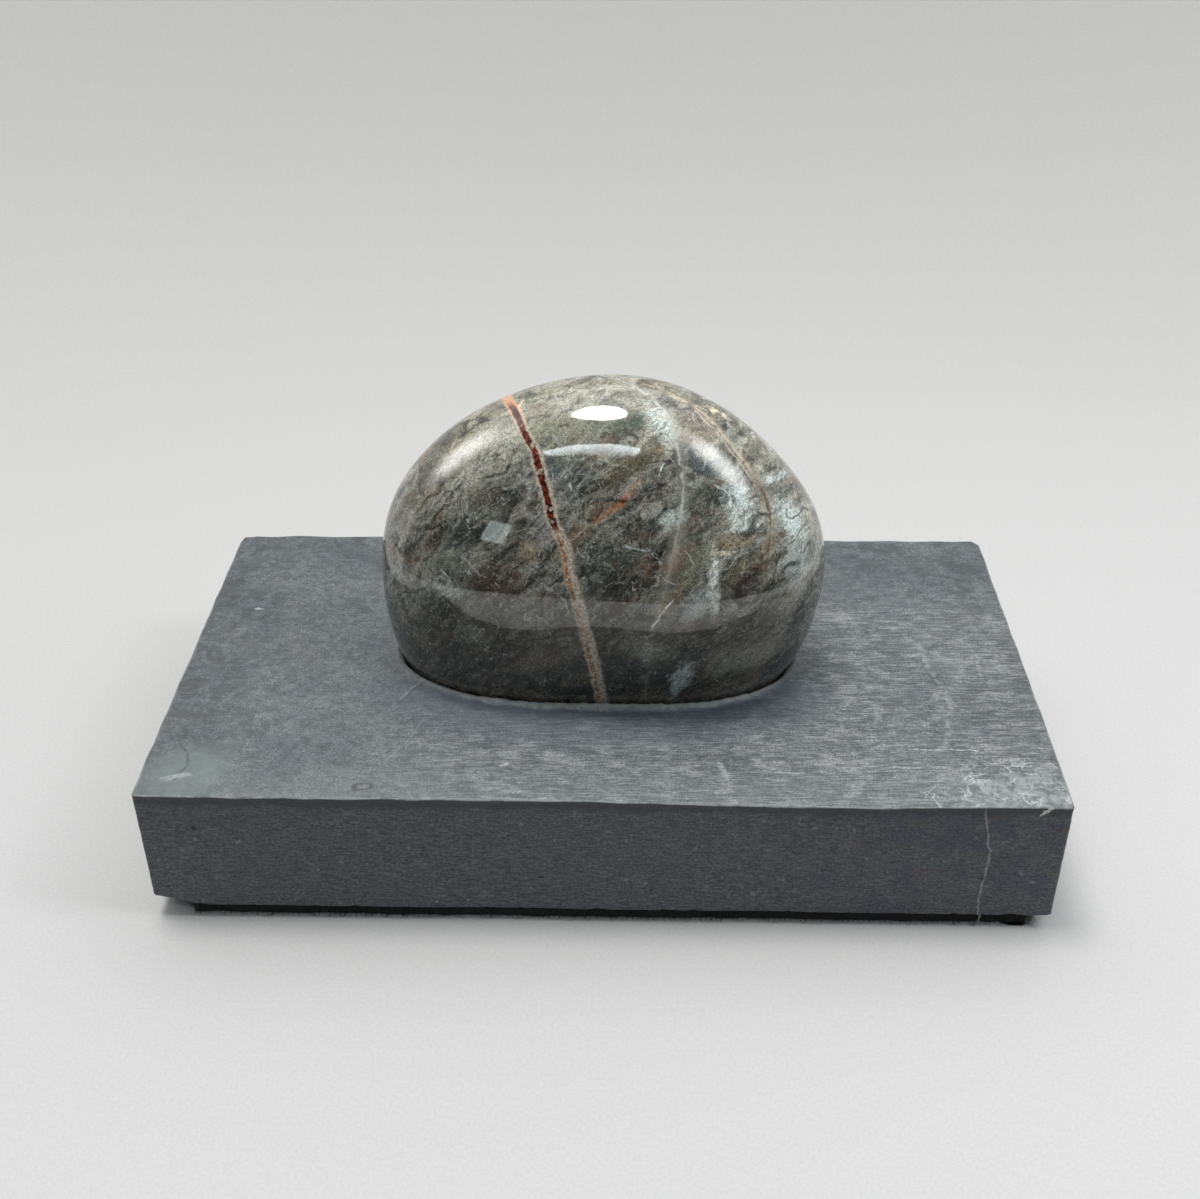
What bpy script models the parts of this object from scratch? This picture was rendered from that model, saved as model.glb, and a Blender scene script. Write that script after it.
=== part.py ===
"""A polished scholar's rock seated in a hand-cut slate stand with a felt pad under it.

Metres, +Z up. The origin is the centre of the felt's underside, +X runs along the
slab's long side, and -Y is the side that the stone is viewed from.
"""

import math

import bmesh
import bpy
from mathutils import Vector, noise

# Slate slab: sawn from 30 mm stock, its top scraped by hand round the stone.
SLAB_WIDTH = 0.187
SLAB_DEPTH = 0.102
SLAB_THICKNESS = 0.030
CORNER_RADIUS = 0.0009
ARRIS_WEAR = 0.0005
SIDE_WAVE = 0.0004
SIDE_WAVE_LENGTH = 0.030
TOP_WAVE = 0.00018

# Felt pad glued under the slab, set in from its sides.
FELT_THICKNESS = 0.003
FELT_INSET_LEFT = 0.008
FELT_INSET_RIGHT = 0.0045
FELT_INSET_FRONT = 0.0008
FELT_INSET_BACK = 0.004
FELT_ROUNDING = 0.0007

# Clearance between pieces that touch in the real object.
GAP = 0.0003

SLAB_BOTTOM = FELT_THICKNESS + GAP
SLAB_TOP = SLAB_BOTTOM + SLAB_THICKNESS

# Stone: an uneven pebble, fuller to the right of the front and flatter on its face.
STONE_CENTRE = Vector((0.0018, 0.0012, SLAB_BOTTOM + 0.0562))
STONE_HALF_WIDTH = 0.0446
STONE_HALF_DEPTH = 0.0259
STONE_RISE = 0.0362
STONE_DROP = 0.0511
EQUATOR_BLEND = 0.5
SWELL_FOCUS = 3.0
SWELLS = (
    ((-1.0, 0.0, -0.6), 0.226),
    ((1.0, 0.0, -0.6), 0.011),
    ((0.0, -1.0, -0.7), -0.130),
    ((-1.0, 0.0, 0.8), 0.143),
    ((1.0, 0.0, 0.8), -0.106),
    ((0.0, -1.0, 0.8), -0.131),
    ((0.0, 1.0, 0.8), -0.011),
    ((-1.0, -1.0, 0.0), -0.035),
    ((1.0, -1.0, 0.0), 0.182),
    ((0.0, 0.0, 1.0), 0.131),
    ((-0.5, -0.3, 1.0), -0.133),
    ((0.5, -0.3, 1.0), 0.104),
    ((-1.0, 0.0, 0.0), -0.056),
    ((1.0, 0.0, 0.0), -0.028),
    ((0.0, -1.0, 0.0), 0.087),
)
STONE_SUBDIVISIONS = 5

# Seat: a pocket cut to the stone's own outline, with a rounded lip raised round it.
SEAT_DEPTH = 0.006
SEAT_FLOOR = SLAB_TOP - SEAT_DEPTH
BASE_SOFTNESS = 0.0008
LIP_HEIGHT = 0.0007
LIP_WIDTH = 0.0022
MOUND_HEIGHT = 0.0007
MOUND_REACH = 0.0140

# The top's front edge is worn down a little to the right of the middle.
DIP_DEPTH = 0.0009
DIP_X = 0.046
DIP_HALF_LENGTH = 0.034
DIP_REACH = 0.012

# Points along each side of the slab's outline, and round each corner.
LONG_COUNT = 26
SHORT_COUNT = 14
CORNER_COUNT = 3

HALF_WIDTH = SLAB_WIDTH / 2
HALF_DEPTH = SLAB_DEPTH / 2

# Broken corners: a point on the break and the direction that it faces.
CHIPS = (
    ((-HALF_WIDTH, -HALF_DEPTH, SLAB_BOTTOM + 0.0030), (-0.26, -0.30, -1.0)),
    ((-HALF_WIDTH + 0.0018, HALF_DEPTH, SLAB_TOP), (-1.0, 0.55, 0.75)),
    ((-HALF_WIDTH + 0.0050, HALF_DEPTH - 0.0010, SLAB_TOP), (-0.12, 1.0, 0.9)),
    ((HALF_WIDTH - 0.0022, HALF_DEPTH, SLAB_TOP), (1.0, 1.0, 0.5)),
    ((-HALF_WIDTH + 0.0008, -HALF_DEPTH, SLAB_TOP), (-1.0, -0.35, 0.8)),
    ((HALF_WIDTH, -HALF_DEPTH, SLAB_BOTTOM + 0.0009), (0.6, -0.2, -1.0)),
    ((HALF_WIDTH - 0.0040, HALF_DEPTH, SLAB_BOTTOM), (0.5, 0.6, -1.0)),
)


def smooth_step(value):
    """Goes from 0 to 1 with level ends."""
    t = min(1.0, max(0.0, value))
    return t * t * (3.0 - 2.0 * t)


def stone_radius(direction):
    """Distance from the stone's centre to its surface along a unit direction."""
    upward = smooth_step(direction.z + EQUATOR_BLEND)
    vertical = STONE_DROP + (STONE_RISE - STONE_DROP) * upward
    ellipsoid = 1.0 / math.sqrt(
        (direction.x / STONE_HALF_WIDTH) ** 2
        + (direction.y / STONE_HALF_DEPTH) ** 2
        + (direction.z / vertical) ** 2
    )
    swell = 1.0
    for towards, amount in SWELLS:
        facing = direction.dot(Vector(towards).normalized())
        swell += amount * math.exp(SWELL_FOCUS * (facing - 1.0))
    return ellipsoid * swell


def stone_section(angle, height):
    """Distance from the stone's upright axis to its surface, at a height under its middle."""
    low = -math.pi / 2 + 0.01
    high = 0.0
    for _ in range(40):
        tilt = (low + high) / 2
        flat = math.cos(tilt)
        direction = Vector((flat * math.cos(angle), flat * math.sin(angle), math.sin(tilt)))
        radius = stone_radius(direction)
        if STONE_CENTRE.z + radius * direction.z < height:
            low = tilt
        else:
            high = tilt
    return radius * flat


def flattened_base(height):
    """The stone's underside is ground flat, a clearance above the pocket's floor."""
    above = (height - SEAT_FLOOR - GAP) / BASE_SOFTNESS
    if above > 30.0:
        return height
    return SEAT_FLOOR + GAP + BASE_SOFTNESS * math.log1p(math.exp(above))


def make_material(name, colour, roughness):
    material = bpy.data.materials.new(name)
    material.use_nodes = True
    shader = material.node_tree.nodes["Principled BSDF"]
    shader.inputs["Base Color"].default_value = (*colour, 1.0)
    shader.inputs["Roughness"].default_value = roughness
    shader.inputs["Metallic"].default_value = 0.0
    return material


def finish_object(obj, collection, material):
    """Puts the object in the part's collection alone, with its material and smooth shading."""
    for owner in list(obj.users_collection):
        owner.objects.unlink(obj)
    collection.objects.link(obj)
    obj.data.materials.clear()
    obj.data.materials.append(material)
    obj.data.shade_smooth()


def make_stone(collection):
    bpy.ops.mesh.primitive_ico_sphere_add(subdivisions=STONE_SUBDIVISIONS, radius=1.0)
    stone = bpy.context.object
    stone.name = "stone"
    for vertex in stone.data.vertices:
        direction = vertex.co.normalized()
        point = STONE_CENTRE + direction * stone_radius(direction)
        vertex.co = Vector((point.x, point.y, flattened_base(point.z)))
    finish_object(stone, collection, make_material("polished_stone", (0.16, 0.17, 0.16), 0.08))


def side_positions(half_length, count):
    """Positions along one side, from its start to before its end, closer near its corners."""
    return [-half_length * math.cos(math.pi * i / count) for i in range(count)]


def slab_outline():
    """The slab's outline from above, anticlockwise: each point with its outward direction."""
    straight_x = HALF_WIDTH - CORNER_RADIUS
    straight_y = HALF_DEPTH - CORNER_RADIUS
    outline = []
    for quarter in range(4):
        turn = quarter * math.pi / 2
        along = Vector((math.cos(turn), math.sin(turn)))
        outward = Vector((along.y, -along.x))
        long_side = quarter % 2 == 0
        half_length = straight_x if long_side else straight_y
        reach = HALF_DEPTH if long_side else HALF_WIDTH
        for position in side_positions(half_length, LONG_COUNT if long_side else SHORT_COUNT):
            outline.append((along * position + outward * reach, outward))
        centre = along * half_length + outward * (reach - CORNER_RADIUS)
        for i in range(CORNER_COUNT):
            bend = turn - math.pi / 2 + math.pi / 2 * i / CORNER_COUNT
            facing = Vector((math.cos(bend), math.sin(bend)))
            outline.append((centre + facing * CORNER_RADIUS, facing))
    return outline


def side_wave(point, height):
    """How far the sawn side lies inside the slab's full size: never less than nothing."""
    place = Vector((point.x, point.y, height)) / SIDE_WAVE_LENGTH
    return SIDE_WAVE * max(0.0, noise.noise(place))


def top_height(point):
    """Height of the scraped top away from the lip."""
    place = Vector((point.x, point.y, 0.0)) / SIDE_WAVE_LENGTH
    along = math.exp(-(((point.x - DIP_X) / DIP_HALF_LENGTH) ** 2))
    inward = math.exp(-(point.y + HALF_DEPTH) / DIP_REACH)
    return SLAB_TOP - DIP_DEPTH * along * inward + TOP_WAVE * (noise.noise(place) - 0.5)


def seat_ring(angles, height, offset):
    """A level ring of points round the stone's own section, moved out by an offset."""
    section = []
    for angle in angles:
        radius = stone_section(angle, height)
        section.append(
            Vector((STONE_CENTRE.x + radius * math.cos(angle), STONE_CENTRE.y + radius * math.sin(angle)))
        )
    ring = []
    for i, point in enumerate(section):
        tangent = section[(i + 1) % len(section)] - section[i - 1]
        outward = Vector((tangent.y, -tangent.x)).normalized()
        ring.append(point + outward * offset)
    return ring


def lip_rise(distance):
    """Height of the raised lip and of the low mound round it, at a distance from the pocket."""
    across = min(1.0, distance / LIP_WIDTH)
    lip = LIP_HEIGHT * math.sin(math.pi * min(1.0, 0.35 + 0.65 * across))
    mound = MOUND_HEIGHT * (1.0 - smooth_step(distance / MOUND_REACH))
    return lip + mound


def broken(point):
    """Moves a point that a broken corner cuts off onto the break."""
    for place, facing in CHIPS:
        outward = Vector(facing).normalized()
        beyond = (point - Vector(place)).dot(outward)
        if beyond > 0.0:
            point = point - outward * beyond
    return point


def slab_rings():
    """Rings of points from the pocket's floor, over the top and down the sides to the underside."""
    outline = slab_outline()
    centre = STONE_CENTRE.xy
    angles = [math.atan2(p.y - centre.y, p.x - centre.x) for p, _ in outline]
    rings = []

    floor_ring = seat_ring(angles, SEAT_FLOOR, GAP)
    rings.append([Vector((*centre.lerp(p, 0.90), SEAT_FLOOR)) for p in floor_ring])
    for share in (0.0, 0.35, 0.7):
        height = SEAT_FLOOR + SEAT_DEPTH * share
        rings.append([Vector((*p, height)) for p in seat_ring(angles, height, GAP * 1.4)])

    rim_height = SLAB_TOP + lip_rise(0.0)
    rim = seat_ring(angles, rim_height, 0.0)
    normals = [(b - a).normalized() for a, b in zip(rim, seat_ring(angles, rim_height, 0.001))]

    def lip_ring(distance):
        return [p + n * (GAP * 1.4 + distance) for p, n in zip(rim, normals)]

    for distance in (0.0, LIP_WIDTH * 0.25, LIP_WIDTH * 0.6, LIP_WIDTH, MOUND_REACH * 0.35, MOUND_REACH * 0.7):
        ring = lip_ring(distance)
        rings.append([Vector((*p, top_height(p) + lip_rise(distance))) for p in ring])

    inner = lip_ring(MOUND_REACH * 0.7)
    for share in (0.30, 0.62, 0.86):
        ring = [a.lerp(p - outward * ARRIS_WEAR * 4, share) for a, (p, outward) in zip(inner, outline)]
        reach = MOUND_REACH * (0.7 + share)
        rings.append([Vector((*p, top_height(p) + lip_rise(reach))) for p in ring])

    def side_ring(inset, height, drop):
        ring = []
        for p, outward in outline:
            level = top_height(p) - drop if height is None else height
            place = p - outward * (inset + side_wave(p, level))
            ring.append(Vector((*place, level)))
        return ring

    rings.append(side_ring(ARRIS_WEAR * 4, None, 0.0))
    rings.append(side_ring(ARRIS_WEAR, None, ARRIS_WEAR * 0.1))
    rings.append(side_ring(0.0, None, ARRIS_WEAR))
    for share in (0.82, 0.5, 0.14):
        rings.append(side_ring(0.0, SLAB_BOTTOM + SLAB_THICKNESS * share, 0.0))
    rings.append(side_ring(0.0, SLAB_BOTTOM + ARRIS_WEAR, 0.0))
    rings.append(side_ring(ARRIS_WEAR, SLAB_BOTTOM, 0.0))
    rings.append(side_ring(ARRIS_WEAR * 12, SLAB_BOTTOM, 0.0))
    return [[broken(p) for p in ring] for ring in rings]


def make_slab(collection):
    """A loft through unlike rings: the stone's outline inside and the slab's outside."""
    rings = slab_rings()
    work = bmesh.new()
    loops = [[work.verts.new(p) for p in ring] for ring in rings]
    for lower, upper in zip(loops, loops[1:]):
        for i in range(len(lower)):
            j = (i + 1) % len(lower)
            work.faces.new((lower[i], upper[i], upper[j], lower[j]))
    work.faces.new(loops[0])
    work.faces.new(list(reversed(loops[-1])))
    bmesh.ops.recalc_face_normals(work, faces=work.faces)
    mesh = bpy.data.meshes.new("slate_base")
    work.to_mesh(mesh)
    work.free()
    slab = bpy.data.objects.new("slate_base", mesh)
    collection.objects.link(slab)
    finish_object(slab, collection, make_material("dark_slate", (0.085, 0.095, 0.105), 0.6))
    mesh.set_sharp_from_angle(angle=math.radians(35))


def make_felt(collection):
    low_x = -HALF_WIDTH + FELT_INSET_LEFT
    high_x = HALF_WIDTH - FELT_INSET_RIGHT
    low_y = -HALF_DEPTH + FELT_INSET_FRONT
    high_y = HALF_DEPTH - FELT_INSET_BACK
    middle = ((low_x + high_x) / 2, (low_y + high_y) / 2, FELT_THICKNESS / 2)
    bpy.ops.mesh.primitive_cube_add(size=1.0, location=middle)
    felt = bpy.context.object
    felt.name = "felt_pad"
    felt.scale = (high_x - low_x, high_y - low_y, FELT_THICKNESS)
    bpy.ops.object.transform_apply(location=False, rotation=False, scale=True)
    rounding = felt.modifiers.new("rounding", "BEVEL")
    rounding.width = FELT_ROUNDING
    rounding.segments = 2
    finish_object(felt, collection, make_material("black_felt", (0.012, 0.012, 0.013), 0.95))


def main():
    for obj in list(bpy.data.objects):
        bpy.data.objects.remove(obj, do_unlink=True)
    collection = bpy.data.collections.new("scholars_rock")
    bpy.context.scene.collection.children.link(collection)
    make_stone(collection)
    make_slab(collection)
    make_felt(collection)


main()
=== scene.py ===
"""Looks of a polished scholar's rock on its slate stand: fine surfaces, finishes, light and camera."""

import math
import random

import bpy
import numpy as np
from mathutils import Matrix, Vector, noise


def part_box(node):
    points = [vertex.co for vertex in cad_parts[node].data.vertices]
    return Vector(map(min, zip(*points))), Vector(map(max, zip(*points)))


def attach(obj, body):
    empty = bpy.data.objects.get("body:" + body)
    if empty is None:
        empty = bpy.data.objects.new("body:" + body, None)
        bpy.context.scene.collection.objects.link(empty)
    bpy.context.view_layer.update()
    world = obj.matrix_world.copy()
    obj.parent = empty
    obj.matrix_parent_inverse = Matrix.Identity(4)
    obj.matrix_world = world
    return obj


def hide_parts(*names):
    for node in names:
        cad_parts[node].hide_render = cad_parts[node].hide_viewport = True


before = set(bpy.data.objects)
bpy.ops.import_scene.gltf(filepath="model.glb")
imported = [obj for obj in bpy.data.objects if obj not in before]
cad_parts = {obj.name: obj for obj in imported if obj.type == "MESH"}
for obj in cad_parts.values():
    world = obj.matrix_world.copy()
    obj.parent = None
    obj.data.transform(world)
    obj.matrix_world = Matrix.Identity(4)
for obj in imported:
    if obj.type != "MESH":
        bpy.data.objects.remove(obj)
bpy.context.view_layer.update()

MM = 0.001
QUARTER_TURN = math.pi / 2

# Camera, solved from the slab's corners in the 1200 x 1199 photograph.
PHOTO_WIDTH = 1200
FOCAL_PIXELS = 1501.5
SENSOR_WIDTH = 36.0
CAMERA_PLACE = Vector((0.00569, -0.27785, 0.22806))
CAMERA_PITCH = math.radians(33.006)
CAMERA_ROLL = math.radians(0.238)
CAMERA_YAW = math.radians(-1.387)
CLIP_START = 0.01

# Stone, the same form as its solid.
SLAB_LOW, SLAB_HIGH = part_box("slate_base")
FELT_LOW, FELT_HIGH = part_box("felt_pad")
HALF_WIDTH = SLAB_HIGH[0]
HALF_DEPTH = SLAB_HIGH[1]
SLAB_BOTTOM = SLAB_LOW[2]
SLAB_TOP = SLAB_BOTTOM + 0.030
STONE_CENTRE = Vector((0.0018, 0.0012, SLAB_BOTTOM + 0.0562))
STONE_HALF_WIDTH = 0.0446
STONE_HALF_DEPTH = 0.0259
STONE_RISE = 0.0362
STONE_DROP = 0.0511
EQUATOR_BLEND = 0.5
SWELL_FOCUS = 3.0
SWELLS = (
    ((-1.0, 0.0, -0.6), 0.226),
    ((1.0, 0.0, -0.6), 0.011),
    ((0.0, -1.0, -0.7), -0.130),
    ((-1.0, 0.0, 0.8), 0.143),
    ((1.0, 0.0, 0.8), -0.106),
    ((0.0, -1.0, 0.8), -0.131),
    ((0.0, 1.0, 0.8), -0.011),
    ((-1.0, -1.0, 0.0), -0.035),
    ((1.0, -1.0, 0.0), 0.182),
    ((0.0, 0.0, 1.0), 0.131),
    ((-0.5, -0.3, 1.0), -0.133),
    ((0.5, -0.3, 1.0), 0.104),
    ((-1.0, 0.0, 0.0), -0.056),
    ((1.0, 0.0, 0.0), -0.028),
    ((0.0, -1.0, 0.0), 0.087),
)
STONE_SUBDIVISIONS = 7
SKIN = 0.00004

# The searches for the stone's surface halve their span this many times. One starts a little short of
# straight down, the other at a depth in millimetres that is surely outside the stone.
SECTION_STEPS = 36
FACE_STEPS = 30
STEEPEST_TILT = -math.pi / 2 + 0.01
OUTSIDE_STONE = 60.0

# Slab, the same form as its solid with its fine surface added.
CORNER_RADIUS = 0.0009
LEAST_RADIUS = 0.0002
SIDE_WAVE = 0.0004
WAVE_LENGTH = 0.030
TOP_WAVE = 0.00018
GAP = 0.0003
SEAT_DEPTH = 0.006
SEAT_FLOOR = SLAB_TOP - SEAT_DEPTH
BASE_SOFTNESS = 0.0008
LIP_HEIGHT = 0.0007
LIP_WIDTH = 0.0022
MOUND_HEIGHT = 0.0007
MOUND_REACH = 0.0140
DIP_DEPTH = 0.0009
DIP_X = 0.046
DIP_HALF_LENGTH = 0.034
DIP_REACH = 0.012
BREAKS = (
    ((-HALF_WIDTH, -HALF_DEPTH, SLAB_BOTTOM + 0.0030), (-0.26, -0.30, -1.0)),
    ((-HALF_WIDTH + 0.0018, HALF_DEPTH, SLAB_TOP), (-1.0, 0.55, 0.75)),
    ((-HALF_WIDTH + 0.0050, HALF_DEPTH - 0.0010, SLAB_TOP), (-0.12, 1.0, 0.9)),
    ((HALF_WIDTH - 0.0022, HALF_DEPTH, SLAB_TOP), (1.0, 1.0, 0.5)),
    ((-HALF_WIDTH + 0.0008, -HALF_DEPTH, SLAB_TOP), (-1.0, -0.35, 0.8)),
    ((HALF_WIDTH, -HALF_DEPTH, SLAB_BOTTOM + 0.0009), (0.6, -0.2, -1.0)),
    ((HALF_WIDTH - 0.0040, HALF_DEPTH, SLAB_BOTTOM), (0.5, 0.6, -1.0)),
)


ORIGIN = (0.0, 0.0, 0.0)

# Small enough to leave a position where it is, and large enough to make it wait for a colour.
ALMOST_NOTHING = 1e-9


class Paint:
    """Builds the nodes of one material or of the world. Each call adds some and gives back an output."""

    def __init__(self, name, world=None):
        self.owner = world or bpy.data.materials.new(name)
        self.owner.use_nodes = True
        self.nodes = self.owner.node_tree.nodes
        self.links = self.owner.node_tree.links
        self.shader = self.nodes["Background" if world else "Principled BSDF"]

    def feed(self, socket, value):
        if isinstance(value, bpy.types.NodeSocket):
            self.links.new(value, socket)
        elif socket.type == "RGBA" and len(value) == 3:
            socket.default_value = (*value, 1.0)
        else:
            socket.default_value = value

    def fill(self, node, **values):
        """Feeds a node's sockets, named with underscores for spaces."""
        for name, value in values.items():
            self.feed(node.inputs[name.replace("_", " ")], value)

    def finish(self, **values):
        """Feeds the shader's own sockets and gives back the material."""
        self.fill(self.shader, **values)
        return self.owner

    def coordinates(self, kind="Object"):
        return self.nodes.new("ShaderNodeTexCoord").outputs[kind]

    def place(self):
        """Position on the object, in millimetres."""
        return self.vector("SCALE", self.coordinates(), scale=1.0 / MM)

    def attribute(self, name):
        node = self.nodes.new("ShaderNodeAttribute")
        node.attribute_name = name
        return node.outputs["Fac"]

    def after(self, place, colour):
        """The same position, worked out once the colour is, because Cycles has room for few open branches."""
        return self.vector("MULTIPLY_ADD", colour, (ALMOST_NOTHING,) * 3, place)

    def math(self, operation, *values, clamp=False):
        node = self.nodes.new("ShaderNodeMath")
        node.operation = operation
        node.use_clamp = clamp
        for socket, value in zip(node.inputs, values):
            self.feed(socket, value)
        return node.outputs[0]

    def times(self, value, *others):
        for other in others:
            value = self.math("MULTIPLY", value, other)
        return value

    def plus(self, value, other, clamp=False):
        return self.math("ADD", value, other, clamp=clamp)

    def scaled(self, value, scale, shift):
        return self.math("MULTIPLY_ADD", value, scale, shift)

    def spread(self, value, span):
        """A value from 0 to 1 spread over a span, with nothing in its middle."""
        return self.scaled(value, span, -span / 2)

    def larger(self, value, other):
        return self.math("MAXIMUM", value, other)

    def absolute(self, value):
        return self.math("ABSOLUTE", value)

    def off(self, value, middle):
        """How far a value is from a middle one."""
        return self.absolute(self.math("SUBTRACT", value, middle))

    def vector(self, operation, *values, scale=None):
        node = self.nodes.new("ShaderNodeVectorMath")
        node.operation = operation
        for socket, value in zip(node.inputs, values):
            self.feed(socket, value)
        if scale is not None:
            self.feed(node.inputs["Scale"], scale)
        return node.outputs["Value" if operation == "LENGTH" else "Vector"]

    def moved(self, place, offset):
        return self.vector("ADD", place, offset)

    def turn(self, place, angle):
        """Turns a position about X."""
        node = self.nodes.new("ShaderNodeVectorRotate")
        node.rotation_type = "X_AXIS"
        self.fill(node, Vector=place, Angle=angle)
        return node.outputs[0]

    def local(self, place, centre, angle, size):
        """Position measured from a centre, along turned axes, in units of a size."""
        node = self.nodes.new("ShaderNodeMapping")
        node.vector_type = "TEXTURE"
        turned = (0.0, 0.0, math.radians(angle))
        self.fill(node, Vector=place, Location=centre, Rotation=turned, Scale=size)
        return node.outputs[0]

    def distance(self, place, centre, angle, size):
        """Distance from a centre, in units of a size along turned axes."""
        return self.vector("LENGTH", self.local(place, centre, angle, size))

    def split(self, vector):
        node = self.nodes.new("ShaderNodeSeparateXYZ")
        self.feed(node.inputs[0], vector)
        return node.outputs[0], node.outputs[1], node.outputs[2]

    def join(self, x, y, z):
        node = self.nodes.new("ShaderNodeCombineXYZ")
        for socket, value in zip(node.inputs, (x, y, z)):
            self.feed(socket, value)
        return node.outputs[0]

    def noise_node(self, place, size, **values):
        node = self.nodes.new("ShaderNodeTexNoise")
        self.fill(node, Vector=place, Scale=1.0 / size, **values)
        return node

    def noise(self, place, size, detail=2.0, roughness=0.5):
        return self.noise_node(place, size, Detail=detail, Roughness=roughness).outputs[0]

    def warp(self, place, size, amount, detail=1.0):
        """Moves a position about by a soft noise."""
        colour = self.noise_node(place, size, Detail=detail).outputs["Color"]
        centred = self.vector("SUBTRACT", colour, (0.5, 0.5, 0.5))
        return self.moved(place, self.vector("SCALE", centred, scale=amount))

    def cells(self, place, size, feature="F1"):
        node = self.nodes.new("ShaderNodeTexVoronoi")
        node.feature = feature
        self.fill(node, Vector=place, Scale=1.0 / size)
        return node.outputs["Distance"]

    def cracks(self, place, size, start, end):
        """Lines along the edges between cells, fading from start to end."""
        return self.fade(self.cells(place, size, "DISTANCE_TO_EDGE"), start, end)

    def fade(self, value, start, end, low=0.0, high=1.0):
        """Goes smoothly from low to high as the value goes from start to end."""
        node = self.nodes.new("ShaderNodeMapRange")
        node.interpolation_type = "SMOOTHSTEP"
        for socket, setting in zip(node.inputs, (value, start, end, low, high)):
            self.feed(socket, setting)
        return node.outputs[0]

    def mix(self, factor, first, second, kind="MIX"):
        node = self.nodes.new("ShaderNodeMix")
        node.data_type = "RGBA"
        node.blend_type = kind
        self.feed(node.inputs[0], factor)
        self.feed(node.inputs[6], first)
        self.feed(node.inputs[7], second)
        return node.outputs[2]

    def lay(self, colour, shade, *covers):
        """Lays a shade over a colour, as thick as its covers multiplied together."""
        return self.mix(self.times(*covers), colour, shade)

    def tone(self, colour, shade, factor=1.0):
        """Multiplies a colour by a shade, or by a single number."""
        if isinstance(shade, bpy.types.NodeSocket):
            shade = self.join(shade, shade, shade)
        return self.mix(factor, colour, shade, "MULTIPLY")

    def deepen(self, colour, gamma, gain, saturation):
        """More contrast between dark and pale colours, and stronger hues."""
        hues = self.nodes.new("ShaderNodeHueSaturation")
        self.fill(hues, Saturation=saturation, Color=colour)
        node = self.nodes.new("ShaderNodeGamma")
        self.fill(node, Color=hues.outputs[0], Gamma=gamma)
        return self.vector("SCALE", node.outputs[0], scale=gain)

    def curve(self, value, points):
        """A smooth curve through (input, output) points that both lie from 0 to 1."""
        node = self.nodes.new("ShaderNodeFloatCurve")
        line = node.mapping.curves[0]
        while len(line.points) < len(points):
            line.points.new(0.5, 0.5)
        for point, (x, y) in zip(line.points, sorted(points)):
            point.location = (x, y)
        node.mapping.update()
        self.fill(node, Value=value)
        return node.outputs[0]

    def bump(self, height, distance, strength):
        node = self.nodes.new("ShaderNodeBump")
        self.fill(node, Strength=strength, Distance=distance, Height=height)
        return node.outputs[0]


def smooth_step(value):
    t = np.clip(value, 0.0, 1.0)
    return t * t * (3.0 - 2.0 * t)


def stone_radius(directions):
    """Distance from the stone's centre to its surface along unit directions."""
    upward = smooth_step(directions[:, 2] + EQUATOR_BLEND)
    vertical = STONE_DROP + (STONE_RISE - STONE_DROP) * upward
    half_width = np.full_like(vertical, STONE_HALF_WIDTH)
    half_depth = np.full_like(vertical, STONE_HALF_DEPTH)
    reach = np.stack((half_width, half_depth, vertical), 1)
    ellipsoid = 1.0 / np.linalg.norm(directions / reach, axis=1)
    swell = np.ones(len(directions))
    for towards, amount in SWELLS:
        facing = directions @ np.array(Vector(towards).normalized())
        swell += amount * np.exp(SWELL_FOCUS * (facing - 1.0))
    return ellipsoid * swell


def stone_section(angles, height):
    """Distance from the stone's upright axis to its surface, at a height under its middle."""
    low = np.full(len(angles), STEEPEST_TILT)
    high = np.zeros(len(angles))
    for _ in range(SECTION_STEPS):
        tilt = (low + high) / 2
        directions = np.stack((np.cos(tilt) * np.cos(angles), np.cos(tilt) * np.sin(angles), np.sin(tilt)), 1)
        radius = stone_radius(directions)
        below = STONE_CENTRE.z + radius * directions[:, 2] < height
        low = np.where(below, tilt, low)
        high = np.where(below, high, tilt)
    return radius * np.cos(tilt)


def mesh_object(name, vertices, faces):
    mesh = bpy.data.meshes.new(name)
    mesh.from_pydata(vertices, [], faces)
    mesh.shade_smooth()
    obj = bpy.data.objects.new(name, mesh)
    bpy.context.scene.collection.objects.link(obj)
    return obj


def dress(obj, material, node):
    """Gives a piece its material and ties it to the solid that it stands for."""
    obj.data.materials.append(material)
    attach(obj, "root")
    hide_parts(node)


# The stone's markings are placed in its face plane: millimetres to the right and up from
# its middle, in a plane leaning back by the angle that it is viewed at.
FACE_LEAN = CAMERA_PITCH - QUARTER_TURN
FACE_TURN = Matrix.Rotation(FACE_LEAN, 3, "X")


def face_depth(across, up):
    """How far the stone's surface stands in front of its middle, at a place on its face."""
    low = 0.0
    high = OUTSIDE_STONE
    for _ in range(FACE_STEPS):
        middle = (low + high) / 2
        arm = FACE_TURN.inverted() @ Vector((across, up, middle))
        inside = arm.length < stone_radius(np.array([arm.normalized()]))[0] / MM
        if inside:
            low = middle
        else:
            high = middle
    return low


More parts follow.
